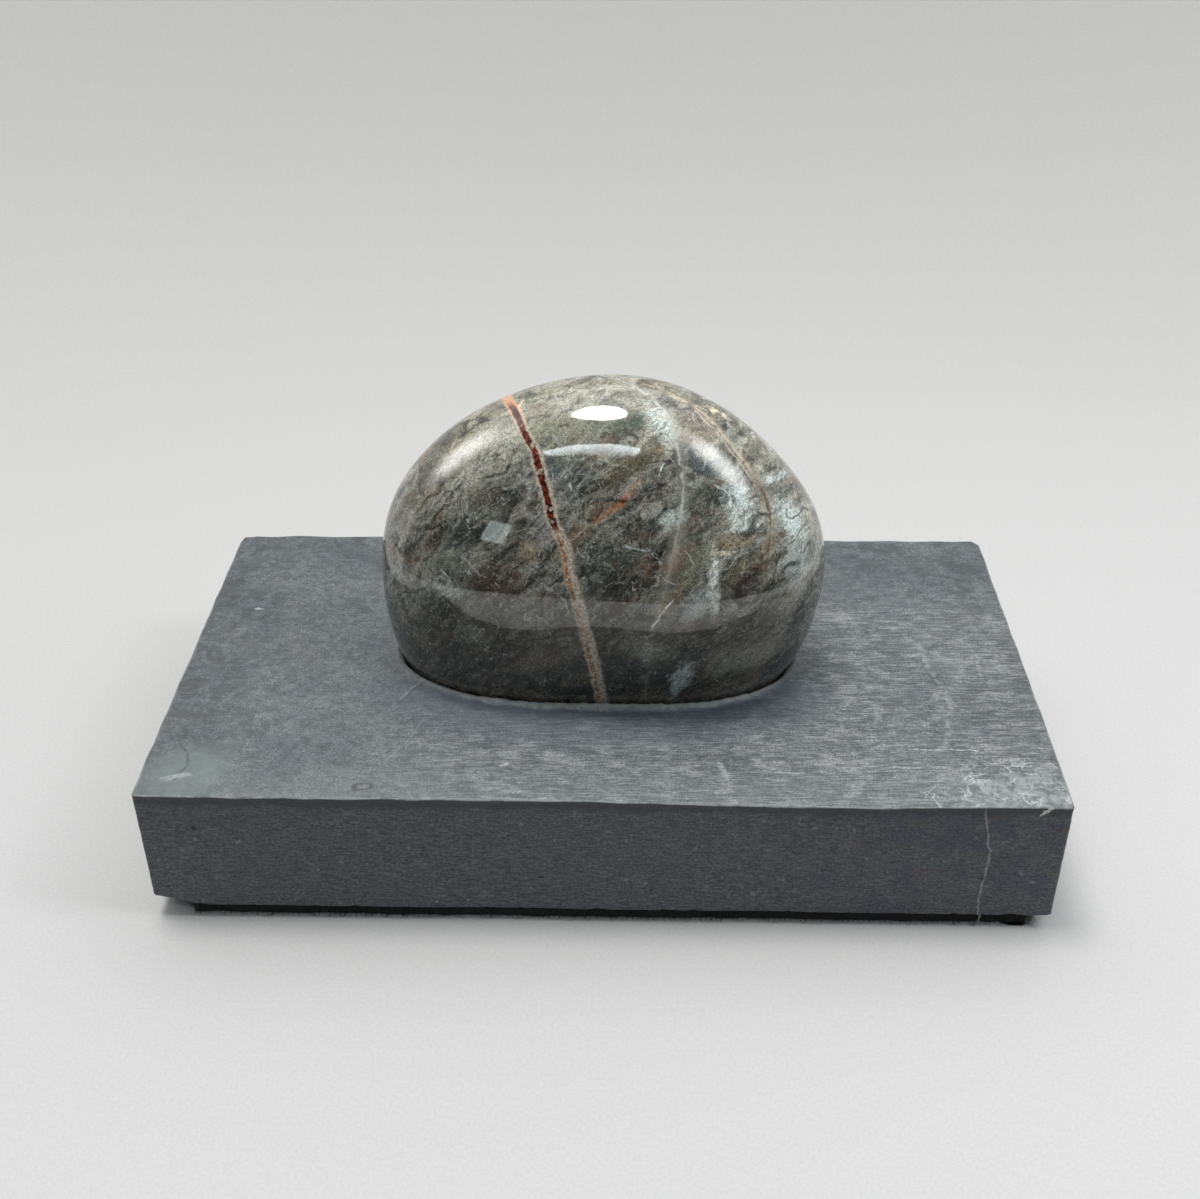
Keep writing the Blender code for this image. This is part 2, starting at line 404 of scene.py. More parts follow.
MAIN_VEIN = (
    (-25.5, 38.0), (-21.8, 30.6), (-20.0, 27.7), (-17.4, 22.2), (-15.4, 18.5), (-14.2, 14.2), (-12.9, 10.0),
    (-11.7, 4.7), (-10.9, 2.9), (-9.3, -0.1), (-8.7, -4.2), (-6.9, -10.8), (-5.7, -15.7), (-3.8, -23.3),
    (-2.0, -32.6), (-1.0, -38.0),
)
MIDDLE_VEIN = (
    (4.0, 34.0), (10.8, 26.4), (12.6, 20.8), (13.8, 14.2), (13.9, 7.1), (12.8, 1.2), (11.1, -7.1),
    (9.5, -13.7), (8.0, -22.0), (7.5, -36.0),
)
RIGHT_VEIN = (
    (9.0, 33.0), (17.0, 28.1), (20.6, 24.6), (24.2, 20.1), (27.2, 16.4), (29.7, 12.4), (31.6, 7.6),
    (31.6, 1.6), (31.1, -4.4), (30.4, -12.0), (30.0, -36.0),
)
VEIN_SPAN = 80.0
FACE_HALF_HEIGHT = 33.0


def vein(paint, place, points, lean, sway):
    """Signed distance in millimetres from a vein's sheet, which leans as it goes deeper."""
    across, up, depth = paint.split(place)
    trace = []
    for u, v in points:
        deep = face_depth(u, v) if abs(v) < FACE_HALF_HEIGHT else 0.0
        trace.append((v / VEIN_SPAN + 0.5, (u + lean * deep) / VEIN_SPAN + 0.5))
    middle = paint.curve(paint.scaled(up, 1.0 / VEIN_SPAN, 0.5), trace)
    middle = paint.spread(middle, VEIN_SPAN)
    leaning = paint.scaled(depth, lean, across)
    wander = paint.spread(paint.noise(place, 2.2, 2.0), sway)
    return paint.plus(paint.math("SUBTRACT", leaning, middle), wander)


# Colours of the stone's minerals.
BLACK = (0.022, 0.024, 0.022)
BLACK_GREEN = (0.040, 0.047, 0.041)
BLACK_BROWN = (0.036, 0.030, 0.026)
DARK_GREEN = (0.060, 0.078, 0.062)
DARK_OLIVE = (0.080, 0.074, 0.056)
DARK_BLUE = (0.070, 0.085, 0.098)
SLATE_BLUE = (0.090, 0.108, 0.108)
SLATE_GREY = (0.078, 0.080, 0.076)
BROWN_GREY = (0.120, 0.100, 0.084)
BROWN = (0.170, 0.115, 0.075)
MAROON = (0.080, 0.056, 0.048)
OLIVE_BROWN = (0.100, 0.088, 0.060)
OLIVE_GREY = (0.175, 0.180, 0.142)
GREEN_GREY = (0.125, 0.142, 0.118)
TAN_GREY = (0.210, 0.205, 0.170)
TAN = (0.250, 0.205, 0.145)
OCHRE = (0.225, 0.180, 0.120)
RUST = (0.290, 0.130, 0.060)
LILAC = (0.250, 0.235, 0.235)
PALE_GREY = (0.400, 0.400, 0.365)
PALE_BLUE = (0.440, 0.490, 0.485)
CREAM = (0.560, 0.500, 0.400)
WHITE = (0.660, 0.690, 0.670)

# Patches: place on the face, half length and half width, turn in degrees, colour, strength.
PATCHES = (
    ((-27.0, 20.0), (20.0, 10.0), 46.0, TAN_GREY, 0.75),
    ((-2.0, 32.0), (20.0, 4.0), 0.0, TAN_GREY, 0.5),
    ((-40.0, 12.5), (10.5, 1.6), 61.0, DARK_OLIVE, 0.75),
    ((-34.0, 22.0), (5.0, 1.3), 50.0, DARK_OLIVE, 0.6),
    ((-30.3, 26.9), (3.0, 1.2), 35.0, BROWN, 0.6),
    ((-32.6, 19.6), (3.4, 1.3), 62.0, BROWN, 0.5),
    ((-42.2, 13.6), (2.6, 1.0), 60.0, BROWN, 0.5),
    ((-43.2, 5.3), (3.2, 1.1), 72.0, BROWN, 0.5),
    ((-28.0, 15.0), (10.0, 2.6), 42.0, PALE_GREY, 0.55),
    ((-19.5, 21.5), (6.0, 2.0), 34.0, PALE_GREY, 0.5),
    ((-30.5, 2.2), (8.5, 3.4), 13.0, BLACK_GREEN, 0.95),
    ((-25.0, 3.4), (3.4, 2.4), 20.0, BLACK, 0.7),
    ((-22.8, 10.8), (8.5, 4.4), 32.0, SLATE_GREY, 0.8),
    ((-17.6, 7.6), (4.4, 3.4), 34.0, BROWN_GREY, 0.75),
    ((-13.6, 3.4), (5.6, 2.2), -68.0, LILAC, 0.75),
    ((-7.4, 12.6), (9.5, 4.6), -24.0, SLATE_BLUE, 0.8),
    ((-3.4, 10.0), (5.0, 2.6), 12.0, OLIVE_BROWN, 0.55),
    ((-10.4, 24.4), (9.5, 4.4), 10.0, OLIVE_GREY, 0.8),
    ((-8.2, 11.8), (1.1, 0.6), 80.0, WHITE, 0.8),
    ((-19.0, 29.3), (2.2, 0.5), 68.0, CREAM, 0.6),
    ((-13.3, 30.0), (6.0, 0.6), 6.0, DARK_OLIVE, 0.7),
    ((1.0, 24.5), (6.5, 2.6), -6.0, DARK_GREEN, 0.55),
    ((4.9, 24.2), (3.4, 1.6), 58.0, DARK_GREEN, 0.75),
    ((3.6, 15.9), (7.5, 2.6), 24.0, OLIVE_BROWN, 0.85),
    ((9.4, 19.5), (4.0, 1.3), 18.0, OCHRE, 0.75),
    ((9.6, 24.4), (6.0, 2.8), -62.0, PALE_BLUE, 0.75),
    ((1.4, 8.6), (6.8, 1.05), 41.0, RUST, 0.95),
    ((7.8, 11.0), (8.0, 1.15), 39.0, BLACK, 0.9),
    ((12.4, 15.0), (3.6, 1.2), 42.0, BROWN_GREY, 0.7),
    ((17.4, 24.4), (7.0, 3.4), -42.0, BROWN_GREY, 0.85),
    ((21.2, 27.2), (3.4, 1.0), -26.0, CREAM, 0.7),
    ((29.5, 19.5), (5.5, 2.4), -48.0, DARK_OLIVE, 0.6),
    ((17.4, 16.4), (6.0, 1.8), -43.0, DARK_BLUE, 0.85),
    ((20.6, 9.8), (5.0, 2.8), 10.0, BLACK_GREEN, 0.85),
    ((31.9, 16.1), (3.0, 0.55), 35.0, BLACK, 0.9),
    ((33.4, 14.7), (4.0, 1.2), 30.0, PALE_BLUE, 0.85),
    ((34.6, 11.0), (2.4, 1.7), 70.0, DARK_GREEN, 0.7),
    ((36.4, 6.0), (5.6, 3.2), -42.0, PALE_BLUE, 0.95),
    ((10.6, 5.4), (4.4, 2.2), 10.0, PALE_BLUE, 0.6),
    ((25.4, 8.6), (6.4, 3.0), -72.0, PALE_BLUE, 0.9),
    ((27.0, 4.6), (4.0, 1.6), 20.0, WHITE, 0.6),
    ((24.8, 0.9), (4.6, 1.8), 6.0, OCHRE, 0.8),
    ((1.0, -3.0), (9.5, 4.6), 14.0, BLACK_GREEN, 0.75),
    ((2.0, -8.0), (11.0, 3.2), 4.0, BLACK, 0.8),
    ((10.6, -0.8), (3.8, 1.8), 44.0, BLACK_GREEN, 0.85),
    ((9.3, -2.8), (4.6, 0.9), 64.0, BLACK, 0.85),
    ((-23.7, -7.2), (8.5, 4.4), 8.0, MAROON, 0.9),
    ((-33.2, -3.6), (5.6, 2.8), -12.0, GREEN_GREY, 0.8),
    ((-34.4, -8.4), (4.6, 2.2), -18.0, PALE_BLUE, 0.55),
    ((-16.8, -1.0), (3.8, 2.2), -42.0, TAN, 0.7),
    ((-14.0, -7.4), (4.0, 2.0), -36.0, LILAC, 0.5),
    ((16.6, -4.0), (6.5, 3.0), 58.0, OLIVE_GREY, 0.75),
    ((11.8, -11.2), (6.5, 1.6), 54.0, TAN, 0.7),
    ((17.0, -12.2), (5.5, 2.4), 38.0, PALE_BLUE, 0.75),
    ((20.7, -8.4), (8.6, 1.25), 91.0, WHITE, 0.9),
    ((25.2, -5.2), (5.0, 2.4), 38.0, OLIVE_BROWN, 0.8),
    ((22.7, -1.4), (3.4, 0.6), 8.0, CREAM, 0.85),
    ((27.5, -6.1), (6.6, 1.5), 48.0, MAROON, 0.95),
    ((26.2, -7.6), (5.0, 0.7), 48.0, BLACK_BROWN, 0.8),
    ((37.6, -3.0), (6.5, 3.6), -78.0, PALE_BLUE, 0.6),
    ((28.6, -17.6), (9.0, 5.0), 16.0, DARK_OLIVE, 0.65),
    ((38.8, -13.8), (5.0, 1.0), 62.0, BLACK, 0.85),
    ((34.0, -23.4), (5.5, 1.1), 44.0, BLACK, 0.85),
    ((41.0, -9.0), (5.0, 0.6), 74.0, BLACK, 0.7),
    ((19.6, -16.8), (5.4, 1.6), 20.0, BLACK_BROWN, 0.9),
    ((3.5, -18.5), (7.5, 2.6), 42.0, OLIVE_GREY, 0.85),
    ((-25.0, -21.0), (18.0, 7.0), -14.0, BLACK_BROWN, 0.60),
    ((4.0, -26.5), (12.0, 5.0), 12.0, BLACK_BROWN, 0.85),
    ((-14.0, -25.0), (8.0, 3.2), 8.0, GREEN_GREY, 0.7),
)

# Patches low on the stone, over the painted shade of its foot.
FOOT_PATCHES = (
    ((29.0, -22.5), (7.5, 4.2), 20.0, TAN_GREY, 0.80),
    ((22.5, -24.3), (4.0, 2.4), 60.0, OLIVE_GREY, 0.80),
    ((7.5, -21.0), (6.0, 2.6), -10.0, OLIVE_GREY, 0.70),
    ((14.4, -27.5), (5.6, 1.9), 66.0, PALE_BLUE, 0.80),
    ((-16.0, -24.0), (8.0, 2.4), 14.0, BROWN_GREY, 0.80),
    ((-30.0, -18.0), (6.0, 2.6), -20.0, OLIVE_GREY, 0.60),
    ((35.5, -24.0), (6.0, 0.9), 46.0, BLACK, 0.90),
    ((39.5, -15.0), (5.5, 0.9), 64.0, BLACK, 0.90),
    ((18.6, -21.0), (5.0, 1.0), 40.0, BLACK, 0.80),
    ((-6.0, -30.0), (7.0, 1.6), 6.0, BLACK, 0.70),
)

# Hairlines: points on the face, half width, colour, strength.
HAIRLINES = (
    (((3.2, -17.7), (12.1, -22.0)), 0.12, PALE_GREY, 0.6),
    (((20.5, -26.8), (27.5, -29.9)), 0.14, PALE_GREY, 0.7),
    (((20.0, 12.2), (22.2, 11.3), (23.5, 9.9), (24.2, 6.3)), 0.22, WHITE, 0.7),
    (((-35.4, -4.5), (-33.3, -6.5)), 0.22, WHITE, 0.7),
    (((-36.6, -10.1), (-31.2, -8.4)), 0.16, PALE_BLUE, 0.7),
    (((-35.3, -11.3), (-31.4, -8.4), (-31.6, -11.0)), 0.18, PALE_BLUE, 0.8),
    (((-8.5, 0.6), (-5.3, 3.5), (-0.3, 5.5), (3.0, 5.4)), 0.20, PALE_GREY, 0.6),
    (((9.4, 14.4), (10.4, 16.2)), 0.20, WHITE, 0.8),
    (((-15.6, -6.5), (-12.0, -8.9), (-9.2, -11.1), (-8.6, -13.6)), 0.34, PALE_GREY, 0.7),
    (((2.7, 0.2), (4.9, -0.7), (7.5, -1.0)), 0.32, PALE_BLUE, 0.9),
    (((12.4, -10.8), (10.6, -13.0), (8.3, -16.6)), 0.34, WHITE, 0.9),
    (((14.6, 12.0), (18.5, 14.0)), 0.16, PALE_BLUE, 0.5),
    (((-27.5, 14.8), (-24.6, 16.6), (-23.0, 18.6)), 0.16, PALE_GREY, 0.5),
    (((-19.5, 5.2), (-16.0, 6.6), (-13.6, 9.0)), 0.14, PALE_GREY, 0.5),
    (((0.2, 30.2), (3.4, 28.6)), 0.20, CREAM, 0.5),
    (((12.1, 30.6), (16.0, 29.0), (18.8, 28.0)), 0.24, CREAM, 0.7),
    (((-2.0, -3.0), (0.6, -4.6), (3.0, -3.8)), 0.18, PALE_GREY, 0.5),
    (((3.8, -11.5), (9.0, -9.4)), 0.12, PALE_GREY, 0.4),
    (((26.6, -3.0), (26.0, -6.0)), 0.20, CREAM, 0.5),
)


# Patches are worked out this many at a time, because Cycles has room for few open branches.
BATCH = 12
LEAST_DEPTH = 9.0

# The rock's grain climbs to the right, in degrees.
GRAIN = 42.0

# Folds: length, width, turn in degrees, shift of their noise, strength.
FOLDS = ((17.0, 6.5, 40.0, 0.0, 0.80), (9.0, 3.8, 50.0, 41.0, 0.50))

# Crackles: size of their cells, width of their lines, strength, shift of their noise.
CRACKLES = ((5.0, 0.020, 0.70, 0.0), (2.8, 0.030, 0.50, 31.0), (1.6, 0.040, 0.30, 57.0))

# Gamma, gain and saturation of the finished colours.
DEEPENING = (1.15, 1.66, 1.12)


def streaks(paint, place, angle, length, width, detail=3.0):
    """Noise drawn out along one direction of the face."""
    drawn_out = paint.local(place, (3.0, 5.0, 0.0), angle, (length, width, length))
    return paint.noise(drawn_out, 1.0, detail, 0.62)


def stone_ground(paint, face):
    """Grey-green and brown rock, drawn out along the stone's grain."""
    bent = paint.warp(paint.warp(face, 9.0, 5.0), 2.4, 2.0, 3.0)
    grain = paint.plus(streaks(paint, bent, GRAIN, 11.0, 2.0, 4.0), paint.noise(bent, 9.0, 4.0, 0.65))
    colour = paint.mix(paint.fade(grain, 0.78, 1.25), (0.062, 0.062, 0.055), (0.290, 0.285, 0.250))
    brown = paint.fade(streaks(paint, paint.moved(bent, (31.0, 7.0, 3.0)), GRAIN, 16.0, 5.0), 0.50, 0.66)
    colour = paint.lay(colour, (0.150, 0.108, 0.078), brown, 0.8)
    green = paint.fade(streaks(paint, paint.moved(bent, (5.0, 47.0, 13.0)), GRAIN, 13.0, 4.0), 0.52, 0.68)
    return paint.lay(colour, (0.095, 0.118, 0.098), green, 0.4)


def spots(paint, face, colour, patches):
    """Patches with ragged edges, each shaped by its own stretched distance."""
    bent = paint.warp(paint.warp(face, 5.0, 1.8), 1.3, 1.0, 3.0)
    ragged = paint.spread(streaks(paint, bent, GRAIN, 4.5, 1.3, 5.0), 2.2)
    broken = paint.fade(streaks(paint, bent, 38.0, 2.6, 0.7, 5.0), 0.34, 0.54, 0.60, 1.0)
    for number, ((u, v), (length, width), angle, shade, strength) in enumerate(patches):
        if number % BATCH == 0:
            bent = paint.after(bent, colour)
        size = (length, width, max(length, LEAST_DEPTH))
        edge = paint.plus(paint.distance(bent, (u, v, face_depth(u, v)), angle, size), ragged)
        colour = paint.lay(colour, shade, paint.fade(edge, 1.2, 0.35, 0.0, strength), broken)
    return colour


def stone_patches(paint, face, colour):
    return spots(paint, face, colour, PATCHES)


def stone_foot(paint, face, colour):
    return spots(paint, face, colour, FOOT_PATCHES)


def stone_painted_shade_and_highlight(paint, face, colour):
    """The foot is darker and browner, a painted shade; the crown and the right shoulder are paler, a painted
    highlight.
    """
    across, up, _ = paint.split(paint.warp(face, 8.0, 7.0, 3.0))
    # Painted shade: the foot darker and browner.
    colour = paint.tone(colour, (0.46, 0.42, 0.385), paint.fade(up, -6.0, -20.0))
    # Painted highlight: the crown and the right shoulder paler.
    colour = paint.tone(colour, (1.32, 1.30, 1.25), paint.fade(up, 12.0, 26.0))
    shoulder = paint.times(paint.fade(across, 14.0, 26.0), paint.fade(up, -10.0, 2.0))
    return paint.tone(colour, (1.16, 1.17, 1.17), shoulder)


def stone_folds(paint, face, colour):
    """Folded dark seams with paler rock on one side, along the grain."""
    bent = paint.warp(paint.warp(face, 12.0, 9.0), 4.0, 2.6, 2.0)
    for length, width, angle, shift, strength in FOLDS:
        drawn_out = paint.local(bent, (shift, shift, 0.0), angle, (length, width, length))
        fold = paint.noise(drawn_out, 1.0, 1.5, 0.5)
        where = paint.noise(paint.moved(face, (shift, 3.0, 8.0)), 8.0, 3.0, 0.6)
        where = paint.fade(where, 0.44, 0.58, 0.0, strength)
        pale = paint.fade(paint.off(fold, 0.555), 0.060, 0.005, 0.0, 0.50)
        colour = paint.lay(colour, (0.30, 0.31, 0.285), pale, where)
        colour = paint.lay(colour, BLACK, paint.fade(paint.off(fold, 0.49), 0.040, 0.004), where)
    return colour


def stone_crystals(paint, face, colour):
    """Fine pale and dark crystals."""
    coarse = paint.noise(face, 1.1, 4.0, 0.72)
    colour = paint.lay(colour, (0.34, 0.345, 0.315), paint.fade(coarse, 0.53, 0.70, 0.0, 0.40))
    colour = paint.lay(colour, (0.026, 0.027, 0.025), paint.fade(coarse, 0.46, 0.30, 0.0, 0.60))
    return paint.tone(colour, paint.fade(paint.noise(face, 0.40, 3.0, 0.75), 0.28, 0.72, 0.50, 1.62))


def stone_crackle(paint, face, colour):
    """Fine cracks, pale where light gets into them and dark elsewhere, in broken clusters."""
    bent = paint.warp(paint.warp(face, 3.0, 1.6), 0.8, 0.45, 2.0)
    _, up, _ = paint.split(face)
    body = paint.fade(up, -24.0, -12.0, 0.25, 1.0)
    for size, width, show, shift in CRACKLES:
        grain = paint.local(bent, (shift, shift, shift), 40.0, (1.7, 1.0, 1.3))
        line = paint.cracks(grain, size, width, width * 0.15)
        where = paint.noise(paint.moved(face, (shift, 9.0, 4.0)), size * 0.7, 3.0, 0.65)
        where = paint.fade(where, 0.53, 0.62, 0.0, show)
        colour = paint.lay(colour, (0.44, 0.46, 0.43), line, where, body)
    curved = paint.noise(paint.moved(bent, (19.0, 2.0, 8.0)), 3.4, 1.0, 0.5)
    line = paint.fade(paint.off(curved, 0.5), 0.009, 0.002)
    where = paint.noise(paint.moved(face, (7.0, 21.0, 4.0)), 2.6, 3.0, 0.65)
    colour = paint.lay(colour, PALE_BLUE, line, paint.fade(where, 0.52, 0.60, 0.0, 0.6))
    grain = paint.local(bent, (83.0, 3.0, 7.0), 44.0, (2.2, 1.0, 1.5))
    line = paint.cracks(grain, 4.6, 0.05, 0.01)
    where = paint.noise(paint.moved(face, (3.0, 71.0, 4.0)), 5.0, 3.0, 0.65)
    return paint.lay(colour, BLACK, line, paint.fade(where, 0.52, 0.62, 0.0, 0.6))


def stroke(paint, place, colour, points, half_width, shade, strength, broken):
    """A thin mark along a line of points, drawn as one long spot for each step."""
    for first, last in zip(points, points[1:]):
        step = last - first
        angle = math.degrees(math.atan2(step.y, step.x))
        size = (step.xy.length / 2 + half_width, half_width, 12.0)
        line = paint.distance(place, (first + last) / 2, angle, size)
        colour = paint.lay(colour, shade, paint.fade(line, 1.35, 0.6, 0.0, strength), broken)
    return colour


def stone_hairlines(paint, face, colour):
    crooked = paint.warp(paint.warp(face, 2.2, 0.9), 0.6, 0.35, 2.0)
    broken = paint.fade(paint.noise(face, 1.1, 3.0, 0.7), 0.38, 0.55, 0.15, 1.0)
    for points, half_width, shade, strength in HAIRLINES:
        deep = [Vector((*point, face_depth(*point))) for point in points]
        crooked = paint.after(crooked, colour)
        colour = stroke(paint, crooked, colour, deep, half_width * 0.75, shade, strength, broken)
    return colour


def thin_veins(paint, face, colour):
    """A brown thread at the right and a pale one in the middle, each in a paler band."""
    _, up, _ = paint.split(face)
    ragged = paint.spread(paint.noise(face, 0.7, 3.0, 0.75), 0.7)
    broken = paint.fade(paint.noise(face, 2.2, 3.0, 0.65), 0.36, 0.56, 0.10, 0.85)
    right = vein(paint, face, RIGHT_VEIN, 0.10, 1.6)
    faint = paint.fade(up, -10.0, 2.0, 0.12, 1.0)
    thin = paint.plus(paint.absolute(right), ragged)
    colour = paint.lay(colour, (0.34, 0.30, 0.24), paint.fade(thin, 1.8, 0.2, 0.0, 0.28), faint)
    shade = paint.mix(paint.fade(up, 12.0, 17.0), (0.120, 0.068, 0.045), (0.46, 0.40, 0.30))
    colour = paint.lay(colour, shade, paint.fade(thin, 0.42, 0.05), broken, faint)
    beside = paint.fade(paint.absolute(paint.plus(right, 1.1)), 0.26, 0.08)
    colour = paint.lay(colour, CREAM, beside, paint.fade(up, 8.0, 14.0, 0.0, 0.7), broken)

    middle = vein(paint, face, MIDDLE_VEIN, 0.12, 1.8)
    pale = paint.plus(paint.absolute(middle), ragged)
    faint = paint.fade(up, -18.0, -8.0, 0.25, 1.0)
    colour = paint.lay(colour, PALE_GREY, paint.fade(pale, 2.4, 0.2, 0.0, 0.26), faint)
    shade = paint.mix(paint.fade(up, -2.0, 8.0), (0.36, 0.31, 0.25), (0.44, 0.46, 0.43))
    return paint.lay(colour, shade, paint.fade(pale, 0.48, 0.02), broken, faint)


def main_vein(paint, face, colour):
    """A pale band with a ragged dark-red core in its upper half, and rusty grains below."""
    _, up, depth = paint.split(face)
    band = vein(paint, face, MAIN_VEIN, 0.10, 0.9)
    side = paint.absolute(band)
    ragged = paint.spread(paint.noise(face, 0.7, 3.0, 0.75), 1.1)
    edge = paint.plus(side, ragged)
    grains = paint.fade(paint.noise(face, 0.5, 3.0, 0.75), 0.36, 0.64)
    cream = paint.mix(grains, (0.26, 0.22, 0.18), (0.58, 0.52, 0.45))
    high = paint.fade(up, 22.0, 30.0, 0.0, 0.7)
    cream = paint.lay(cream, (0.60, 0.34, 0.24), high, paint.fade(depth, -8.0, 8.0, 0.2, 1.0))
    stony = paint.mix(grains, (0.22, 0.190, 0.155), (0.56, 0.51, 0.44))
    cream = paint.mix(paint.fade(up, 3.0, -5.0), cream, stony)
    colour = paint.lay(colour, cream, paint.fade(edge, 1.75, 0.95, 0.0, 0.92))

    core = paint.plus(paint.absolute(paint.plus(band, 0.10)), ragged)
    upper = paint.times(paint.fade(up, 2.0, 4.0), paint.fade(up, 30.5, 27.5))
    gaps = paint.fade(paint.noise(face, 2.2, 2.0), 0.28, 0.38)
    red = paint.times(paint.fade(core, 0.95, 0.50), paint.times(upper, gaps))
    blotchy = paint.fade(paint.noise(face, 0.8, 2.0), 0.42, 0.62)
    dark_red = paint.mix(blotchy, (0.045, 0.014, 0.011), (0.150, 0.046, 0.032))
    colour = paint.lay(colour, dark_red, red)

    rusty_side = paint.plus(paint.absolute(paint.plus(band, 0.55)), ragged)
    lower = paint.times(paint.fade(up, 4.0, 0.0), paint.fade(rusty_side, 0.75, 0.15))
    blotchy = paint.fade(paint.noise(face, 0.6, 2.0), 0.40, 0.60)
    rust = paint.mix(blotchy, (0.085, 0.045, 0.026), (0.44, 0.22, 0.10))
    specks = paint.fade(paint.noise(face, 0.9, 3.0, 0.75), 0.44, 0.54, 0.0, 0.9)
    return paint.lay(colour, rust, specks, lower)


STONE_LAYERS = (
    stone_patches, stone_folds, stone_painted_shade_and_highlight, stone_foot, stone_crystals, stone_crackle, stone_hairlines,
    thin_veins, main_vein,
)


def stone_material():
    paint = Paint("polished_stone_veined")
    place = paint.place()
    centre = tuple(c / MM for c in STONE_CENTRE)
    face = paint.turn(paint.vector("SUBTRACT", place, centre), FACE_LEAN)
    colour = stone_ground(paint, face)
    for layer in STONE_LAYERS:
        colour = layer(paint, paint.after(face, colour), colour)
    colour = paint.deepen(colour, *DEEPENING)

    waviness = paint.noise(place, 9.0, 1.0)
    pits = paint.fade(paint.noise(place, 0.5, 1.0), 0.30, 0.22)
    roughness = paint.fade(paint.noise(face, 1.6, 2.0), 0.3, 0.7, 0.04, 0.07)
    height = paint.math("SUBTRACT", paint.times(waviness, 0.10), paint.times(pits, 0.010))
    return paint.finish(Base_Color=colour, Roughness=roughness, IOR=1.78, Normal=paint.bump(height, MM, 0.6))


# Heights above the stone's flat foot, in units of its softness: the largest that the blend into the
# foot works out, and where the stone's own surface takes over.
BLEND_LIMIT = 40.0
BLEND_END = 30.0


def make_stone():
    bpy.ops.mesh.primitive_ico_sphere_add(subdivisions=STONE_SUBDIVISIONS, radius=1.0)
    stone = bpy.context.object
    stone.name = "stone_polished"
    mesh = stone.data
    directions = np.empty(len(mesh.vertices) * 3)
    mesh.vertices.foreach_get("co", directions)
    directions = directions.reshape(-1, 3)
    directions /= np.linalg.norm(directions, axis=1)[:, None]
    points = np.array(STONE_CENTRE) + directions * (stone_radius(directions) - SKIN)[:, None]
    base = SEAT_FLOOR + GAP + SKIN
    above = np.minimum((points[:, 2] - base) / BASE_SOFTNESS, BLEND_LIMIT)
    flattened = base + BASE_SOFTNESS * np.log1p(np.exp(above))
    points[:, 2] = np.where(above < BLEND_END, flattened, points[:, 2])
    mesh.vertices.foreach_set("co", points.ravel())
    mesh.shade_smooth()
    mesh.update()
    dress(stone, stone_material(), "stone")


# Counts of points along the slab's outline and of rings over its surfaces.
LONG_COUNT = 210
SHORT_COUNT = 115
CORNER_COUNT = 5
LIP_RINGS = 9
MOUND_RINGS = 9
TOP_RINGS = 34
ARRIS_RINGS = 7
SIDE_RINGS = 34
ARRIS_INSET = 0.0011
ARRIS_DROP = 0.0006

BOTTOM_RINGS = 3
BOTTOM_INSET = 0.006
TOP_INSET = ARRIS_INSET * 1.8

# The pocket: its gap at the walls, the heights of their rings, and the floor's inner ring, as shares.
SEAT_GAP = GAP * 1.4
SEAT_LEVELS = (0.0, 0.35, 0.7)
SEAT_INNER = 0.9

# The lip is highest in front: where it starts to rise, over how much of a turn, and its least share.
LIP_START = 0.15
LIP_SPAN = 0.7
LIP_LEAST = 0.25
MOUND_SHARE = 0.7

# Unevenness, as layers of soft noise. Of the lip and of the worn edge: share and length.
LIP_LUMPS = ((0.5, 0.0016), (0.4, 0.005))
EDGE_WEAR = ((0.7, 0.006),)
# Of the top, its scraping, the sawn sides and the broken corners: height and length in metres.
TOP_LUMPS = ((0.00009, 0.0045), (0.00004, 0.0012))
SCRAPES = ((0.00006, 0.0018),)
SCRAPE_SQUEEZE = (0.22, 1.3, 1.0)
SAW_MARKS = ((0.00007, 0.0016),)
SAW_SQUEEZE = (0.35, 0.35, 2.2)
BREAK_LUMPS = ((0.00025, 0.0014), (0.0003, 0.004))

# Chips along the slab's edges: how many, at which height, towards which side, and how much deeper.
CHIP_SEED = 11
CHIPS = ((90, SLAB_TOP, 1.0, 0.75), (150, SLAB_BOTTOM, -1.0, 1.25))
CHIP_RADIUS = (0.0010, 0.0034)
CHIP_BITE = (0.00012, 0.00050)
CHIP_OUTWARD = (0.35, 1.0)
CHIP_UPWARD = (0.5, 1.0)


def slab_outline():
    """The slab's outline from above, anticlockwise: points and their outward directions."""
    straight_x = HALF_WIDTH - CORNER_RADIUS
    straight_y = HALF_DEPTH - CORNER_RADIUS
    points = []
    outwards = []
    for quarter in range(4):
        turn = quarter * QUARTER_TURN
        along = np.array((math.cos(turn), math.sin(turn)))
        outward = np.array((along[1], -along[0]))
        long_side = quarter % 2 == 0
        half_length = straight_x if long_side else straight_y
        reach = HALF_DEPTH if long_side else HALF_WIDTH
        count = LONG_COUNT if long_side else SHORT_COUNT
        for i in range(count):
            points.append(along * half_length * (2.0 * i / count - 1.0) + outward * reach)
            outwards.append(outward)
        centre = along * half_length + outward * (reach - CORNER_RADIUS)
        for i in range(CORNER_COUNT):
            bend = turn - QUARTER_TURN + QUARTER_TURN * i / CORNER_COUNT
            facing = np.array((math.cos(bend), math.sin(bend)))
            points.append(centre + facing * CORNER_RADIUS)
            outwards.append(facing)
    return np.array(points), np.array(outwards)


def inset_outline(outline, outward, inset):
    """The outline moved inwards, with its corners still round."""
    inset = np.broadcast_to(inset, len(outline))
    radius = np.maximum(CORNER_RADIUS - inset, LEAST_RADIUS)
    core = outline - outward * CORNER_RADIUS
    shrink_x = (HALF_WIDTH - inset - radius) / (HALF_WIDTH - CORNER_RADIUS)
    shrink_y = (HALF_DEPTH - inset - radius) / (HALF_DEPTH - CORNER_RADIUS)
    return core * np.stack((shrink_x, shrink_y), 1) + outward * radius[:, None]


def noise_at(points, length):
    """Soft noise from -1 to 1 at each point, with bumps of about the given length."""
    return np.array([noise.noise(Vector(p) / length) for p in points])


